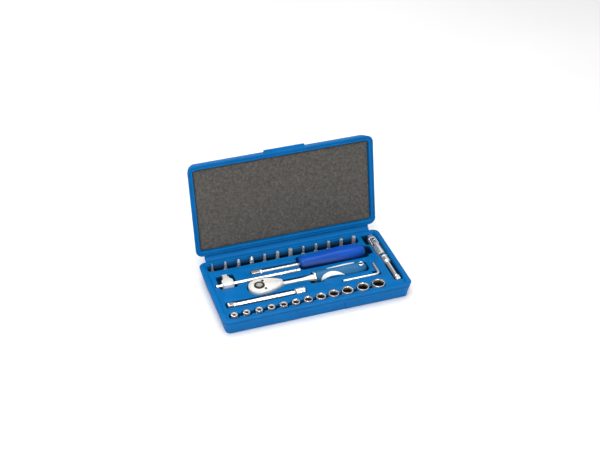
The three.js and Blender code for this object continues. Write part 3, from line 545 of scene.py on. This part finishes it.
def head_well(centre, r, neck, floor):
    """A pocket the shape of the ratchet head: round at the gear, bulging until it meets the neck."""
    half = NECK_HALF + 0.8
    side_steps, round_steps = 15, 28
    rings = []
    for z, grow in ((floor, -0.6), (floor + 0.8, 0), (DECK_Z - 0.5, 0),
                    (DECK_Z + 0.01, 0.5), (CUTTER_TOP, 0.5)):
        side = []
        for i in range(side_steps):
            t = 1 - i / side_steps
            side.append((neck * t + grow * (i == 0), half + (r - half) * (1 - t ** 2.2) + grow))
        ring = list(side)
        for i in range(round_steps + 1):
            a = math.pi * (0.5 + i / round_steps)
            ring.append(((r + grow) * math.cos(a), (r + grow) * math.sin(a)))
        ring += [(px, -py) for px, py in reversed(side)]
        rings.append([Vector((centre.x + px, centre.y + py, z)) for px, py in ring])
    return skin(rings)


def t_bar_pockets():
    return [around("tbar_rod", 1.2, r=3.4), around("tbar_head", 1.0, r=3, left=3.3, right=3.3)]


def spinner_pockets():
    lo, hi = mm_box("spinner_handle")
    shaft, handle = middle("spinner_shaft"), middle("spinner_handle")
    return [
        well(lo.x - 66, lo.x + 2, shaft.y - 5.1, shaft.y + 5.1, 5, shaft.z - 5.4),
        well(lo.x - 1.5, hi.x + 2, lo.y - 1.8, hi.y + 0.8, 5, CUP_FLOOR),
        well(hi.x - 6, hi.x + 9, handle.y - 10, handle.y + 9, 4, CUP_FLOOR + 5),
    ]


def ratchet_pockets():
    gear = middle("ratchet_drive_gear")
    head_lo, head_hi = mm_box("ratchet_body")
    grip_lo, grip_hi = mm_box("ratchet_grip")
    head_r = (head_hi.y - head_lo.y) / 2
    head_floor = head_lo.z - POCKET_GAP
    drive_r = DRIVE_SQ / math.sqrt(2) + POCKET_GAP
    half = GRIP_POCKET_HALF
    grip_floor = middle("ratchet_grip").z - half
    return [
        head_well(gear, head_r + 1.6, NECK_X - gear.x + 1.6, head_floor),
        round_well(gear.x, gear.y, drive_r, mm_box("ratchet_drive_gear")[0].z - POCKET_GAP),
        well(NECK_X - 12, grip_lo.x, gear.y - 5.6, gear.y + 5.6, 2, head_floor),
        well(grip_lo.x - 4.4, grip_hi.x + 2, gear.y - half, gear.y + half, 6, grip_floor),
        well(grip_lo.x - 10.4, grip_lo.x + 10.6, gear.y - 14, gear.y, 5, grip_floor),
    ]


def key_pockets():
    lo, hi = mm_box("hex_key")
    right, front, floor = hi.x + 0.8, lo.y - 0.8, lo.z - 0.5
    return [
        well(lo.x - 2, right, front, lo.y + 3.8, 1, floor),
        well(hi.x - 9.6, right, front, lo.y + 8.8, 1, floor),
        well(hi.x - 3.9, right, lo.y, hi.y + 1.5, 1, floor),
    ]


def joint_pockets():
    female_lo = mm_box("ujoint_female")[0]
    end = mm_box("ujoint_male")[1].y
    cross = middle("ujoint_cross")
    floor = 9
    return [
        well(cross.x - 7, cross.x + 7, female_lo.y - POCKET_GAP, end - DRIVE_LEN + 1, 2, floor),
        well(cross.x - 5.4, cross.x + 5.4, cross.y, end + 1, 4, floor),
        well(cross.x - 12.8, cross.x, cross.y - 2, end + 1, 2, floor),
    ]


def socket_pockets():
    first, last = middle("socket_4mm"), middle("socket_13mm")
    cups = [well(first.x, last.x, first.y - SLOT_HALF, first.y + SLOT_HALF, 1, DECK_Z - SLOT_DEPTH)]
    for node in sorted(frame["nodes"]):
        if node.startswith("socket_"):
            lo, hi = mm_box(node)
            r = (hi.x - lo.x) / 2 + POCKET_GAP
            cups.append(round_well((lo.x + hi.x) / 2, (lo.y + hi.y) / 2, r, CUP_FLOOR))
    return cups


def bit_trough():
    """The bits' common pocket, whose back wall leans out near the deck."""
    first = mm_box("bit_body_01")[0]
    last = mm_box("bit_body_12")[1]
    x = (first.x + last.x) / 2
    w = last.x - first.x + 2
    y0 = first.y - 0.7
    y1 = last.y + 0.4
    out = y1 + TROUGH_FLARE
    levels = ((CUP_FLOOR, y1, -0.6), (CUP_FLOOR + 0.8, y1, 0), (DECK_Z - 5, y1, 0),
              (DECK_Z - 0.5, out, 0), (DECK_Z + 0.01, out, 0.5), (CUTTER_TOP, out, 0.5))
    rings = []
    for z, y, grow in levels:
        outline = rounded_rect(w + 2 * grow, y - y0 + 2 * grow, 5, 6, x, (y + y0) / 2)
        rings.append([Vector((px, py, z)) for px, py in outline])
    return skin(rings)


def tool_pockets():
    cutters = t_bar_pockets() + spinner_pockets() + ratchet_pockets()
    cutters.append(around("extension_long", POCKET_GAP, r=2.5, left=1.6, right=0.6))
    cutters += key_pockets() + joint_pockets()
    cutters.append(around("extension_short", POCKET_GAP, r=3, front=0.3))
    cutters += socket_pockets()
    cutters.append(bit_trough())
    return cutters


def tool_tray():
    band_z = BASE_H - RIM_BAND
    levels = [[CUP_FLOOR - 0.9, CASE_W - 13.6, CASE_D - 13.6, 5], [band_z, CASE_W - 6.4, CASE_D - 6.4, 6]]
    for z, extra in ((band_z, 0.6), (band_z + 0.3, 0.1), (BASE_H - 0.9, 0.0),
                     (BASE_H - 0.4, 0.25), (BASE_H - 0.1, 0.7), (BASE_H, 1.3)):
        s = 2 * (case_inset(min(z, BASE_H - 0.8)) + extra)
        levels.append([z, CASE_W - s, CASE_D - s, CASE_CORNER_R - extra])
    tray = stack(levels, 10)
    open_w, open_d = CASE_W - 2 * RIM_SIDE, CASE_D - 2 * RIM_FRONT
    opening = stack([
        [DECK_Z, open_w - 2.6, open_d - 2.6, 4.5], [DECK_Z + 0.3, open_w - 2, open_d - 2, 5],
        [BASE_H - 0.9, open_w - 0.6, open_d - 0.6, 5.4], [BASE_H - 0.2, open_w + 0.4, open_d + 0.4, 6],
        [BASE_H + 1, open_w + 3, open_d + 3, 7]], 8)
    steps = [("DIFFERENCE", opening)] + [("DIFFERENCE", cutter) for cutter in tool_pockets()]
    for node in sorted(frame["nodes"]):
        if node.startswith("socket_") or node.startswith("bit_body_"):
            c = middle(node)
            path = [(square(STAND_SIDE), CUP_FLOOR - 0.5), (square(STAND_SIDE), CUP_FLOOR + STAND_H - 0.5),
                    (square(STAND_SIDE - 1), CUP_FLOOR + STAND_H)]
            steps.append(("UNION", spun(path, at(c.x, c.y, 0), 16)))
    return place(finish_mesh(boolean(tray, steps), "tool_tray_fine", [TRAY], 30), "tool_tray")


def lid_matrix():
    """Carries the closed lid, drawn from the middle of its rim plane, to the open lid."""
    turn = Matrix.Rotation(-LID_OPEN, 4, "X")
    rim_middle = at(0, -HINGE_BACK - CASE_D / 2, 0.2)
    return at(0, HINGE_Y, HINGE_Z) @ turn @ rim_middle


def lid_shell():
    def level(h, extra, r):
        s = 2 * (SIDE_DRAFT * max(h, 0) / LID_H + extra)
        return [h, CASE_W - s, CASE_D - s, r]

    r = LID_EDGE_R
    levels = []
    for i in range(7):
        a = i / 6 * TAU / 4
        h = LID_H - r * (1 - math.sin(TAU / 4 - a))
        levels.append(level(h, r * (1 - math.sin(a)), 4.5 + 4.5 * math.sin(a)))
    levels += [level(9, 0, 9), level(1.0, 0, 9), level(0.3, 0.25, 9), level(0, 0.9, 9), level(0, 1.9, 8.2)]
    levels += [level(0.7, 2.3, 8), level(0.7, 3.5, 7.4), level(0, 3.9, 7)]
    levels += [level(0, 5.6, 6), level(0.3, 6.2, 5.4)]
    floor_h = LID_H - LID_WALL
    for h, extra in ((1.0, LID_RIM), (floor_h, LID_RIM + 1)):
        levels.append([h, CASE_W - 2 * extra, CASE_D - 2 * extra, 4.5])
    shell = stack(levels, 10)
    lip_y = -CASE_D / 2
    lip = stack([
        [0.3, LATCH_W - 1.2, LATCH_OUT + 2, 1], [0.8, LATCH_W, LATCH_OUT + 3, 1.6],
        [2.6, LATCH_W, LATCH_OUT + 3, 1.6], [3.2, LATCH_W - 1.4, LATCH_OUT + 1.6, 1]],
        5, LATCH_X, lip_y - LATCH_OUT + (LATCH_OUT + 3) / 2)
    joined = boolean(shell, [("UNION", lip)])
    joined.transform(lid_matrix())
    return place(finish_mesh(joined, "lid_shell_fine", [CASE], 32), "lid_shell")


def lid_foam():
    """A slab of open-cell foam with a slightly uneven face and softened edges."""
    half_w = CASE_W / 2 - LID_RIM - FOAM_MARGIN
    half_d = CASE_D / 2 - LID_RIM - FOAM_MARGIN
    deep = LID_H - LID_WALL - 0.3
    across, along = 150, 80
    bm = bmesh.new()
    grid = []
    for j in range(along + 1):
        row = []
        for i in range(across + 1):
            u, v = 2 * i / across - 1, 2 * j / along - 1
            x, y = half_w * u, half_d * v
            edge = min(half_w - abs(x), half_d - abs(y))
            fall = 1.1 * max(0, 1 - edge / 2.2) ** 2
            wave = 0.16 * math.sin(x * 0.071 + 1.3) * math.sin(y * 0.093 + 0.4)
            grain = 0.05 * math.sin(x * 2.1 + y * 3.7) * math.sin(x * 3.3 - y * 1.9)
            row.append(bm.verts.new((x, y, FOAM_RECESS + fall + wave + grain)))
        grid.append(row)
    for low, high in zip(grid, grid[1:]):
        for i in range(across):
            bm.faces.new((low[i], high[i], high[i + 1], low[i + 1]))
    border = grid[0][:-1] + [row[-1] for row in grid[:-1]]
    border += list(reversed(grid[-1][1:])) + [row[0] for row in reversed(grid[1:])]
    foot = [bm.verts.new((v.co.x, v.co.y, deep)) for v in border]
    count = len(border)
    for i in range(count):
        j = (i + 1) % count
        bm.faces.new((border[i], border[j], foot[j], foot[i]))
    bm.faces.new(foot)
    bm.transform(lid_matrix())
    foam = place(finish_mesh(bm, "lid_foam_fine", [FOAM], 60), "lid_foam")
    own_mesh(foam)
    return foam


def hinge_strip():
    """The web that bends between the base and the lid, thinned along two fold lines."""
    lo, hi = mm_box("hinge_strip")
    start = Vector((lo.y + 0.15, lo.z + 0.9))
    end = Vector((hi.y - 0.9, hi.z - 0.1))
    bow = Vector((HINGE_Y + 0.9, HINGE_Z - 1.3))
    steps = 24
    rows = []
    for i in range(steps + 1):
        t = i / steps
        p = start * (1 - t) ** 2 + bow * 2 * t * (1 - t) + end * t ** 2
        tangent = (bow - start) * (1 - t) + (end - bow) * t
        normal = Vector((tangent.y, -tangent.x)).normalized()
        thin = 0.35 * (math.exp(-((t - 0.22) / 0.06) ** 2) + math.exp(-((t - 0.78) / 0.06) ** 2))
        rows.append((p + normal * thin * 0.5, p + normal * (0.78 - thin * 0.5)))
    half = (hi.x - lo.x) / 2
    columns = 40
    rings = []
    for k in range(columns + 1):
        x = -half + 2 * half * k / columns
        outline = [a for a, b in rows] + [b for a, b in reversed(rows)]
        rings.append([Vector((x, p.x, p.y)) for p in outline])
    strip = finish_mesh(skin(rings), "hinge_strip_fine", [CASE], 50)
    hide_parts("hinge_strip")
    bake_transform(strip)
    return strip


# ================= sockets and bits =================

def socket(node):
    lo, hi = mm_box(node)
    size = float(node[len("socket_"):-2].replace("_", "."))
    body_r = (hi.x - lo.x) / 2
    neck_r = SOCKET_NECK_R.get(size, body_r)
    c = (lo + hi) / 2
    z0, top = lo.z, hi.z
    neck = z0 + DRIVE_LEN + 1
    outer = [(body_r - 0.9, z0), (body_r, z0), (body_r, z0 + 3.2), (body_r - 0.25, z0 + 3.5),
             (body_r - 0.25, z0 + 4.1), (body_r, z0 + 4.4), (body_r, neck),
             (neck_r, neck + body_r - neck_r + 0.3), (neck_r, top), (neck_r - 0.9, top)]
    depth = max(5, size * 0.65)
    hex_r = size / 2 / math.cos(math.pi / 6)
    mouth = min(hex_r + 0.9, neck_r - 0.6)
    path = [(square(DRIVE_HOLE), z0 + DRIVE_LEN - 1), (square(DRIVE_HOLE), z0 + 0.5),
            (square(DRIVE_HOLE + 0.8), z0)]
    path += soft(outer, 0.5)
    path += [(mouth, top), (lambda a: min(hexagon(size)(a) + 0.1, mouth), top - 1.1),
             (hexagon(size), top - 1.5), (hexagon(size), top - depth),
             (hex_r * 0.62, top - depth - 0.2), (hex_r * 0.5, top - depth - 0.9)]
    bm = spun(path, at(c.x, c.y, 0))
    for face in bm.faces:
        m = face.calc_center_median()
        inside = math.hypot(m.x - c.x, m.y - c.y) < hex_r * 0.97
        face.material_index = 1 if inside and z0 + DRIVE_LEN - 1.2 < m.z < top - 1.4 else 0
    return place(finish_mesh(bm, node + "_fine", [CHROME, INNER], 28), node)


def bit_tip_path(kind, size, mid, end):
    """The working end from the shank's shoulder at mid to the point at end."""
    r = size / 2
    if kind == "hex":
        return [(hexagon(size), mid + 0.5), (hexagon(size), end - 0.5), (hexagon(size - 0.9), end)]
    if kind == "star":
        return [(lobed(r), mid + 0.5), (lobed(r), end - 0.5), (lobed(r - 0.45), end)]
    if kind == "slotted":
        return [(2.2, mid + 0.6), (bar(1.2, r), mid + 4), (bar(0.5, r), end - 2), (bar(0.42, r), end)]
    return [(r, mid + 0.5), (r, mid + 2.5), (crossed(r, size * 0.2), mid + 3.6),
            (crossed(r, size * 0.17), end - r - 1), (crossed(0.75, 0.4), end - 0.15),
            (crossed(0.5, 0.3), end)]


def bit(index):
    body_node = "bit_body_%02d" % index
    tip_node = next(n for n in frame["nodes"] if n.startswith("bit_tip_%02d_" % index))
    lo, hi = mm_box(body_node)
    c = (lo + hi) / 2
    r, z0, top = (hi.x - lo.x) / 2, lo.z, hi.z
    outer = [(r - 0.8, z0), (r, z0), (r, z0 + 3.6), (r - 0.25, z0 + 3.9), (r - 0.25, z0 + 4.4),
             (r, z0 + 4.7), (r, top - 1.2), (r - 1.2, top), (3.4, top)]
    path = [(square(DRIVE_HOLE), z0 + 3.5), (square(DRIVE_HOLE), z0 + 0.4), (square(DRIVE_HOLE + 0.6), z0)]
    path += soft(outer, 0.4)
    path += [(BIT_BORE_R, top - 0.4), (BIT_BORE_R, top - 3.1)]
    place(finish_mesh(spun(path, at(c.x, c.y, 0)), body_node + "_fine", [CHROME], 28), body_node)
    kind = tip_node.split("_")[-1]
    tip_lo, tip_hi = mm_box(tip_node)
    mid = top + 3.0
    size = min(BIT_SIZE[index], max(tip_hi.x - tip_lo.x, tip_hi.y - tip_lo.y))
    shank = [(2.2, tip_lo.z), (BIT_SHANK_R, tip_lo.z + 0.4), (BIT_SHANK_R, mid - 0.4)]
    tip = bit_tip_path(kind, size, mid, tip_hi.z)
    bm = spun(shank + tip, at(c.x, c.y, 0), 96 if kind in ("slotted", "cross") else 48)
    place(finish_mesh(bm, tip_node + "_fine", [STEEL], 28), tip_node)


# ================= long tools =================

def male_square(z0, z1):
    return [(square(DRIVE_SQ), z0), (square(DRIVE_SQ), z1 - 1.1), (square(DRIVE_SQ - 0.6), z1 - 0.5),
            (square(DRIVE_SQ - 1.7), z1)]


def extension(node, matrix, length, shaft_r, end_r, end_len):
    shoulder = length - DRIVE_LEN
    outer = [(end_r - 0.9, 0), (end_r, 0), (end_r, 2.4), (end_r - 0.3, 2.8), (end_r - 0.3, 3.4), (end_r, 3.8),
             (end_r, end_len - 1), (shaft_r, end_len + 1), (shaft_r, shoulder - 4),
             (shaft_r + 0.45, shoulder - 3),
             (shaft_r + 0.45, shoulder - 0.6), (DRIVE_SQ / 2, shoulder)]
    path = [(square(DRIVE_HOLE), end_len - 4.1), (square(DRIVE_HOLE), 0.5), (square(DRIVE_HOLE + 0.7), 0)]
    path += soft(outer, 0.5) + male_square(shoulder + 0.2, length)
    bm = spun(path, matrix)
    return place(finish_mesh(bm, node + "_fine", [CHROME], 28), node)


def extensions():
    lo, hi = mm_box("extension_long")
    c = (lo + hi) / 2
    extension("extension_long", at(hi.x, c.y, c.z, MINUS_X), hi.x - lo.x, 2.8, (hi.y - lo.y) / 2, 12.5)
    lo, hi = mm_box("extension_short")
    c = (lo + hi) / 2
    extension("extension_short", at(c.x, hi.y, c.z, MINUS_Y), hi.y - lo.y, 3.0, (hi.x - lo.x) / 2, 13)


def t_bar():
    lo, hi = mm_box("tbar_rod")
    c = (lo + hi) / 2
    r = (hi.y - lo.y) / 2
    length = hi.x - lo.x
    groove = r - 0.35
    outer = [(0.01, 0), (r, 0), (r, 4), (groove, 4.4), (groove, 5.2), (r, 5.6),
             (r, length - 5.6), (groove, length - 5.2), (groove, length - 4.4), (r, length - 4),
             (r, length), (0.01, length)]
    rod = spun(soft(outer, 0.6), at(lo.x, c.y, c.z, PLUS_X))
    place(finish_mesh(rod, "tbar_rod_fine", [CHROME], 28), "tbar_rod")
    refined("tbar_head", SATIN, 0.5, 3)


def spinner_shaft():
    lo, hi = mm_box("spinner_shaft")
    c = (lo + hi) / 2
    end = hi.x - lo.x
    drive = [(square(DRIVE_SQ - 1.7), 0), (square(DRIVE_SQ - 0.6), 0.6), (square(DRIVE_SQ), 1.2),
             (square(DRIVE_SQ), 11.5)]
    rest = soft([(3.0, 11.6), (4.2, 11.6), (4.2, 14), (2.6, 14.6), (2.6, end), (0.01, end)], 0.4)
    shaft = spun(drive + rest, at(lo.x, middle("spinner_handle").y, c.z, PLUS_X))
    place(finish_mesh(shaft, "spinner_shaft_fine", [CHROME], 28), "spinner_shaft")


def spinner_handle():
    """A fluted handle, bored for its shaft, whose six flutes fade towards both ends."""
    lo, hi = mm_box("spinner_handle")
    y, z = middle("spinner_handle").y, middle("spinner_shaft").z
    length = hi.x - lo.x
    profile = [(0.0, 7.2), (0.5, 8.4), (2.0, 9.6), (6, 10.1), (14, 10.6), (26, 11.6), (38, 12.6), (50, 13.2),
               (62, 13.4), (72, 13.2), (78, 12.7), (83, 11.8), (86.5, 10.6), (89.3, 8.6), (91, 6),
               (length - 0.15, 3.6), (length, 2)]
    sides = 72

    def ring(x, radius):
        points = []
        for i in range(sides):
            a = i * TAU / sides
            points.append(Vector((lo.x + x, y + radius(a) * math.cos(a), z + radius(a) * math.sin(a))))
        return points

    def fluted(x, r):
        amount = 0.045 * min(1, max(0.25, (length - x) / 10)) * min(1, 0.4 + x / 6)
        return lambda a: r * (1 - amount * ((1 - math.cos(6 * a)) / 2) ** 1.6)

    rings = [ring(BORE_DEPTH, circle(SPINNER_BORE_R)), ring(0.0, circle(SPINNER_BORE_R))]
    rings += [ring(x, fluted(x, r)) for x, r in profile]
    place(finish_mesh(skin(rings), "spinner_handle_fine", [HANDLE], 50), "spinner_handle")


# ================= ratchet =================

def eased(rows, steps=6):
    """More rows between the given ones, on a smooth curve through them."""
    out = []
    for k in range(len(rows) - 1):
        before, after = rows[max(k - 1, 0)], rows[min(k + 2, len(rows) - 1)]
        for i in range(steps):
            t = i / steps
            row = []
            for p, q, r, v in zip(before, rows[k], rows[k + 1], after):
                square_term = (2 * p - 5 * q + 4 * r - v) * t * t
                cubic_term = (3 * q - p - 3 * r + v) * t ** 3
                row.append(0.5 * (2 * q + (r - p) * t + square_term + cubic_term))
            out.append(tuple(row))
    out.append(rows[-1])
    return out


def grip_point(x, a, lift=0.0):
    """A point on the grip, x from its collar end and at angle a, lifted off the surface."""
    for (x0, y0, z0), (x1, y1, z1) in zip(GRIP_PROFILE, GRIP_PROFILE[1:]):
        if x <= x1:
            t = (x - x0) / (x1 - x0)
            ry, rz = y0 + (y1 - y0) * t, z0 + (z1 - z0) * t
            break
    c = middle("ratchet_grip")
    start = mm_box("ratchet_grip")[0].x
    return Vector((start + x, c.y + (ry + lift) * math.cos(a), c.z + (rz + lift) * math.sin(a)))


def grip_inlay(name, outline):
    """A raised patch on the grip: rows of (x, low angle, high angle) in degrees."""
    across = 10
    c = middle("ratchet_grip")
    rows = []
    under = []
    for x, a0, a1 in outline:
        row = [grip_point(x, math.radians(a0 + (a1 - a0) * k / across), 0.22) for k in range(across + 1)]
        core = Vector((row[0].x, c.y, c.z))
        rows.append(row)
        under.append([core + (p - core) * 0.94 for p in row])
    bm = bmesh.new()
    top = [[bm.verts.new(p) for p in row] for row in rows]
    low = [[bm.verts.new(p) for p in row] for row in under]
    for i in range(len(rows) - 1):
        for k in range(across):
            bm.faces.new((top[i][k], top[i + 1][k], top[i + 1][k + 1], top[i][k + 1]))
            bm.faces.new((low[i][k + 1], low[i + 1][k + 1], low[i + 1][k], low[i][k]))
        bm.faces.new((low[i][0], low[i + 1][0], top[i + 1][0], top[i][0]))
        bm.faces.new((top[i][across], top[i + 1][across], low[i + 1][across], low[i][across]))
    for end in (0, -1):
        for k in range(across):
            bm.faces.new((top[end][k], top[end][k + 1], low[end][k + 1], low[end][k]))
    piece = finish_mesh(bm, name, [WHITE], 40)
    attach(piece, "ratchet")


def grip_eyelet(name, side):
    """A rolled metal rim round the hanging hole, on the grip's top or foot."""
    c = middle("ratchet_grip")
    path = [(2.42, 6.4), (2.42, 8.0), (3.0, 8.35), (3.8, 8.0), (4.0, 7.0), (4.0, 6.4), (2.42, 6.4)]
    rings = spun_rings([(r, side * (h - 0.55)) for r, h in path], at(EYELET_X, c.y, c.z), 40)
    ring = finish_mesh(skin(rings, (False, False)), name, [CHROME], 50)
    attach(ring, "ratchet")


# distance from the collar end, half width and half height
GRIP_PROFILE = [(0, 6.9, 6.9), (0.4, 7.5, 7.5), (1.2, 7.9, 7.9), (4, 8.6, 8.4), (9, 8.2, 8.1),
                (14, 8.0, 8.0), (20, 8.4, 8.3), (26, 8.8, 8.6), (35, 9.4, 9.0), (44, 9.8, 9.2),
                (52, 9.8, 8.9), (58, 9.5, 8.3), (63, 8.5, 7.2), (66.5, 7.2, 5.8), (68.8, 5.2, 4.4),
                (69.7, 3.6, 3.1), (69.9, 2.0, 1.8)]
# distance from the collar end, low and high angle
CRESCENT = [(6, 168, 195), (8, 146, 190), (10, 135, 180), (12, 129, 173), (14, 124, 167), (17, 119, 160),
            (20, 118, 157), (24, 122, 156), (28, 130, 157), (31, 139, 159), (34, 151, 162), (37, 165, 168)]
STRIPE = [(17, 60, 72), (24, 56, 79), (34, 55, 83), (46, 58, 83), (54, 64, 76)]


def ratchet_grip():
    c = middle("ratchet_grip")
    start = mm_box("ratchet_grip")[0].x
    sides = 64
    bore = spun_rings([(GRIP_BORE_R, BORE_DEPTH), (GRIP_BORE_R, 1.5), (4.5, 1.5), (4.5, 0)],
                      at(start, c.y, c.z, PLUS_X), sides)
    rings = [[grip_point(row[0], i * TAU / sides) for i in range(sides)] for row in GRIP_PROFILE]
    hang = spun([(EYELET_R, 0), (EYELET_R, 40)], at(EYELET_X, c.y, 0), 32)
    cut = boolean(skin(bore + rings), [("DIFFERENCE", hang)])
    place(finish_mesh(cut, "ratchet_grip_fine", [GRIP], 45), "ratchet_grip")
    grip_inlay("grip_crescent", eased(CRESCENT))
    grip_inlay("grip_stripe", eased(STRIPE))
    grip_eyelet("grip_eyelet_top", 1)
    grip_eyelet("grip_eyelet_foot", -1)


def ratchet_dial():
    lo, hi = mm_box("ratchet_dial")
    c = (lo + hi) / 2
    r, top = (hi.x - lo.x) / 2, hi.z
    path = [(0.01, lo.z), (3.0, lo.z), (3.0, top - 1.5), (r - 0.3, top - 1.5), (r, top - 1.2), (r, top - 0.5),
            (r - 0.5, top), (r - 2.4, top), (r - 2.7, top - 0.5), (0.01, top - 0.5)]
    bm = spun(path, at(c.x, c.y, 0), 64)
    for face in bm.faces:
        m = face.calc_center_median()
        near = math.hypot(m.x - c.x, m.y - c.y) < r - 2.6
        face.material_index = 1 if near and m.z > top - 0.8 else 0
    place(finish_mesh(bm, "ratchet_dial_fine", [BLACK, DIAL], 28), "ratchet_dial")


def ratchet_screw(node):
    lo, hi = mm_box(node)
    c = (lo + hi) / 2
    r, top = (hi.x - lo.x) / 2, hi.z
    path = [(0.01, lo.z), (1.1, lo.z), (1.1, top - 0.7), (r, top - 0.7), (r, top - 0.4),
            (r - 0.3, top - 0.15), (1.0, top), (lobed(0.8), top), (lobed(0.75), top - 0.4),
            (0.01, top - 0.45)]
    place(finish_mesh(spun(path, at(c.x, c.y, 0), 36), node + "_fine", [BLACK], 30), node)


def ratchet_collar():
    lo, hi = mm_box("ratchet_collar")
    c = (lo + hi) / 2
    r, t = (hi.y - lo.y) / 2, hi.x - lo.x
    path = [(4.5, 0), (r - 0.9, 0), (r - 0.3, 0.25), (r, 0.8), (r, t - 0.3), (r - 0.3, t), (4.5, t), (4.5, 0)]
    rings = spun_rings(path, at(lo.x, c.y, c.z, PLUS_X), 48)
    place(finish_mesh(skin(rings, (False, False)), "ratchet_collar_fine", [CHROME], 30), "ratchet_collar")


def ratchet():
    refined("ratchet_body", SATIN, 0.7, 3)
    refined("ratchet_cover", FACE, 0.25)
    refined("ratchet_pawl", STEEL, 0.2)
    refined("ratchet_drive_gear", STEEL, 0.12)
    ratchet_dial()
    ratchet_screw("ratchet_screw_front")
    ratchet_screw("ratchet_screw_back")
    ratchet_collar()
    ratchet_grip()


# ================= stage =================

def area_light(name, place_at, aim, size, power):
    data = bpy.data.lights.new(name, "AREA")
    data.shape = "RECTANGLE"
    data.size, data.size_y = size
    data.energy = power
    obj = bpy.data.objects.new(name, data)
    obj.location = place_at
    obj.rotation_euler = (Vector(aim) - Vector(place_at)).to_track_quat("-Z", "Y").to_euler()
    bpy.context.scene.collection.objects.link(obj)


def studio():
    bm = bmesh.new()
    bmesh.ops.create_grid(bm, x_segments=2, y_segments=2, size=1500)
    bmesh.ops.translate(bm, vec=(0, 0, -FLOOR_DROP), verts=bm.verts)
    finish = surface("studio_floor", (0.86, 0.86, 0.86), (0.90, 0.90, 0.90), (0.55, 0.65),
                     0.0, 3, 200, 0.00001)
    floor = finish_mesh(bm, "studio_floor", [finish])
    world = bpy.data.worlds.new("studio_world")
    world.use_nodes = True
    nodes, links = world.node_tree.nodes, world.node_tree.links
    background = nodes["Background"]
    direction = nodes.new("ShaderNodeTexCoord")
    split = nodes.new("ShaderNodeSeparateXYZ")
    links.new(direction.outputs["Generated"], split.inputs["Vector"])
    sky = ramp(nodes, links, split.outputs["Z"],
               [(0.0, grey(0.4)), (0.2, grey(0.2)), (0.38, grey(0.4)), (0.5, grey(1.0))])
    links.new(sky.outputs["Color"], background.inputs["Color"])
    background.inputs["Strength"].default_value = 0.72
    bpy.context.scene.world = world
    bpy.context.scene.view_settings.view_transform = "Standard"
    area_light("key_light", (-0.35, -0.45, 1.0), (0, 0, 0.03), (0.7, 0.5), 5.5)
    area_light("top_light", (0.1, 0.15, 1.2), (0, 0, 0), (0.9, 0.7), 7)
    area_light("fill_light", (-0.1, -1.1, 0.42), (0, 0, 0.03), (0.9, 0.25), 5)
    area_light("back_light", (-0.3, 1.3, 1.2), (-0.25, 0.75, 0), (1.0, 0.5), 5)


def camera():
    azimuth, elevation, roll = math.radians(-17.68), math.radians(35.39), math.radians(-0.60)
    target = Vector((-5.32, 0, 85.76)) * MM
    distance = 1.4499
    level = math.cos(elevation)
    back = Vector((math.sin(azimuth) * level, -math.cos(azimuth) * level, math.sin(elevation)))
    right = (-back).cross(Vector((0, 0, 1))).normalized()
    up = right.cross(-back)
    turned_right = math.cos(roll) * right + math.sin(roll) * up
    turned_up = -math.sin(roll) * right + math.cos(roll) * up
    data = bpy.data.cameras.new("camera")
    data.lens = 69.45
    data.sensor_width = 36
    data.clip_start = 0.05
    obj = bpy.data.objects.new("camera", data)
    columns = Matrix((turned_right, turned_up, back)).transposed()
    obj.matrix_world = Matrix.Translation(target + back * distance) @ columns.to_4x4()
    bpy.context.scene.collection.objects.link(obj)
    bpy.context.scene.camera = obj


# ================= assembly =================

camera()
studio()
base_shell()
tool_tray()
lid_shell()
lid_foam()
hinge_strip()
for name in sorted(frame["nodes"]):
    if name.startswith("socket_"):
        socket(name)
for number in range(1, 13):
    bit(number)
extensions()
t_bar()
spinner_shaft()
spinner_handle()
ratchet()
refined("hex_key", STEEL, 0.2)
refined("ujoint_female", CHROME, 0.35, 3)
refined("ujoint_male", CHROME, 0.35, 3)
# Painted shade: the cross is drawn near-black to stand for the shade in the yoke's gap.
refined("ujoint_cross", BLACK, 0.25)
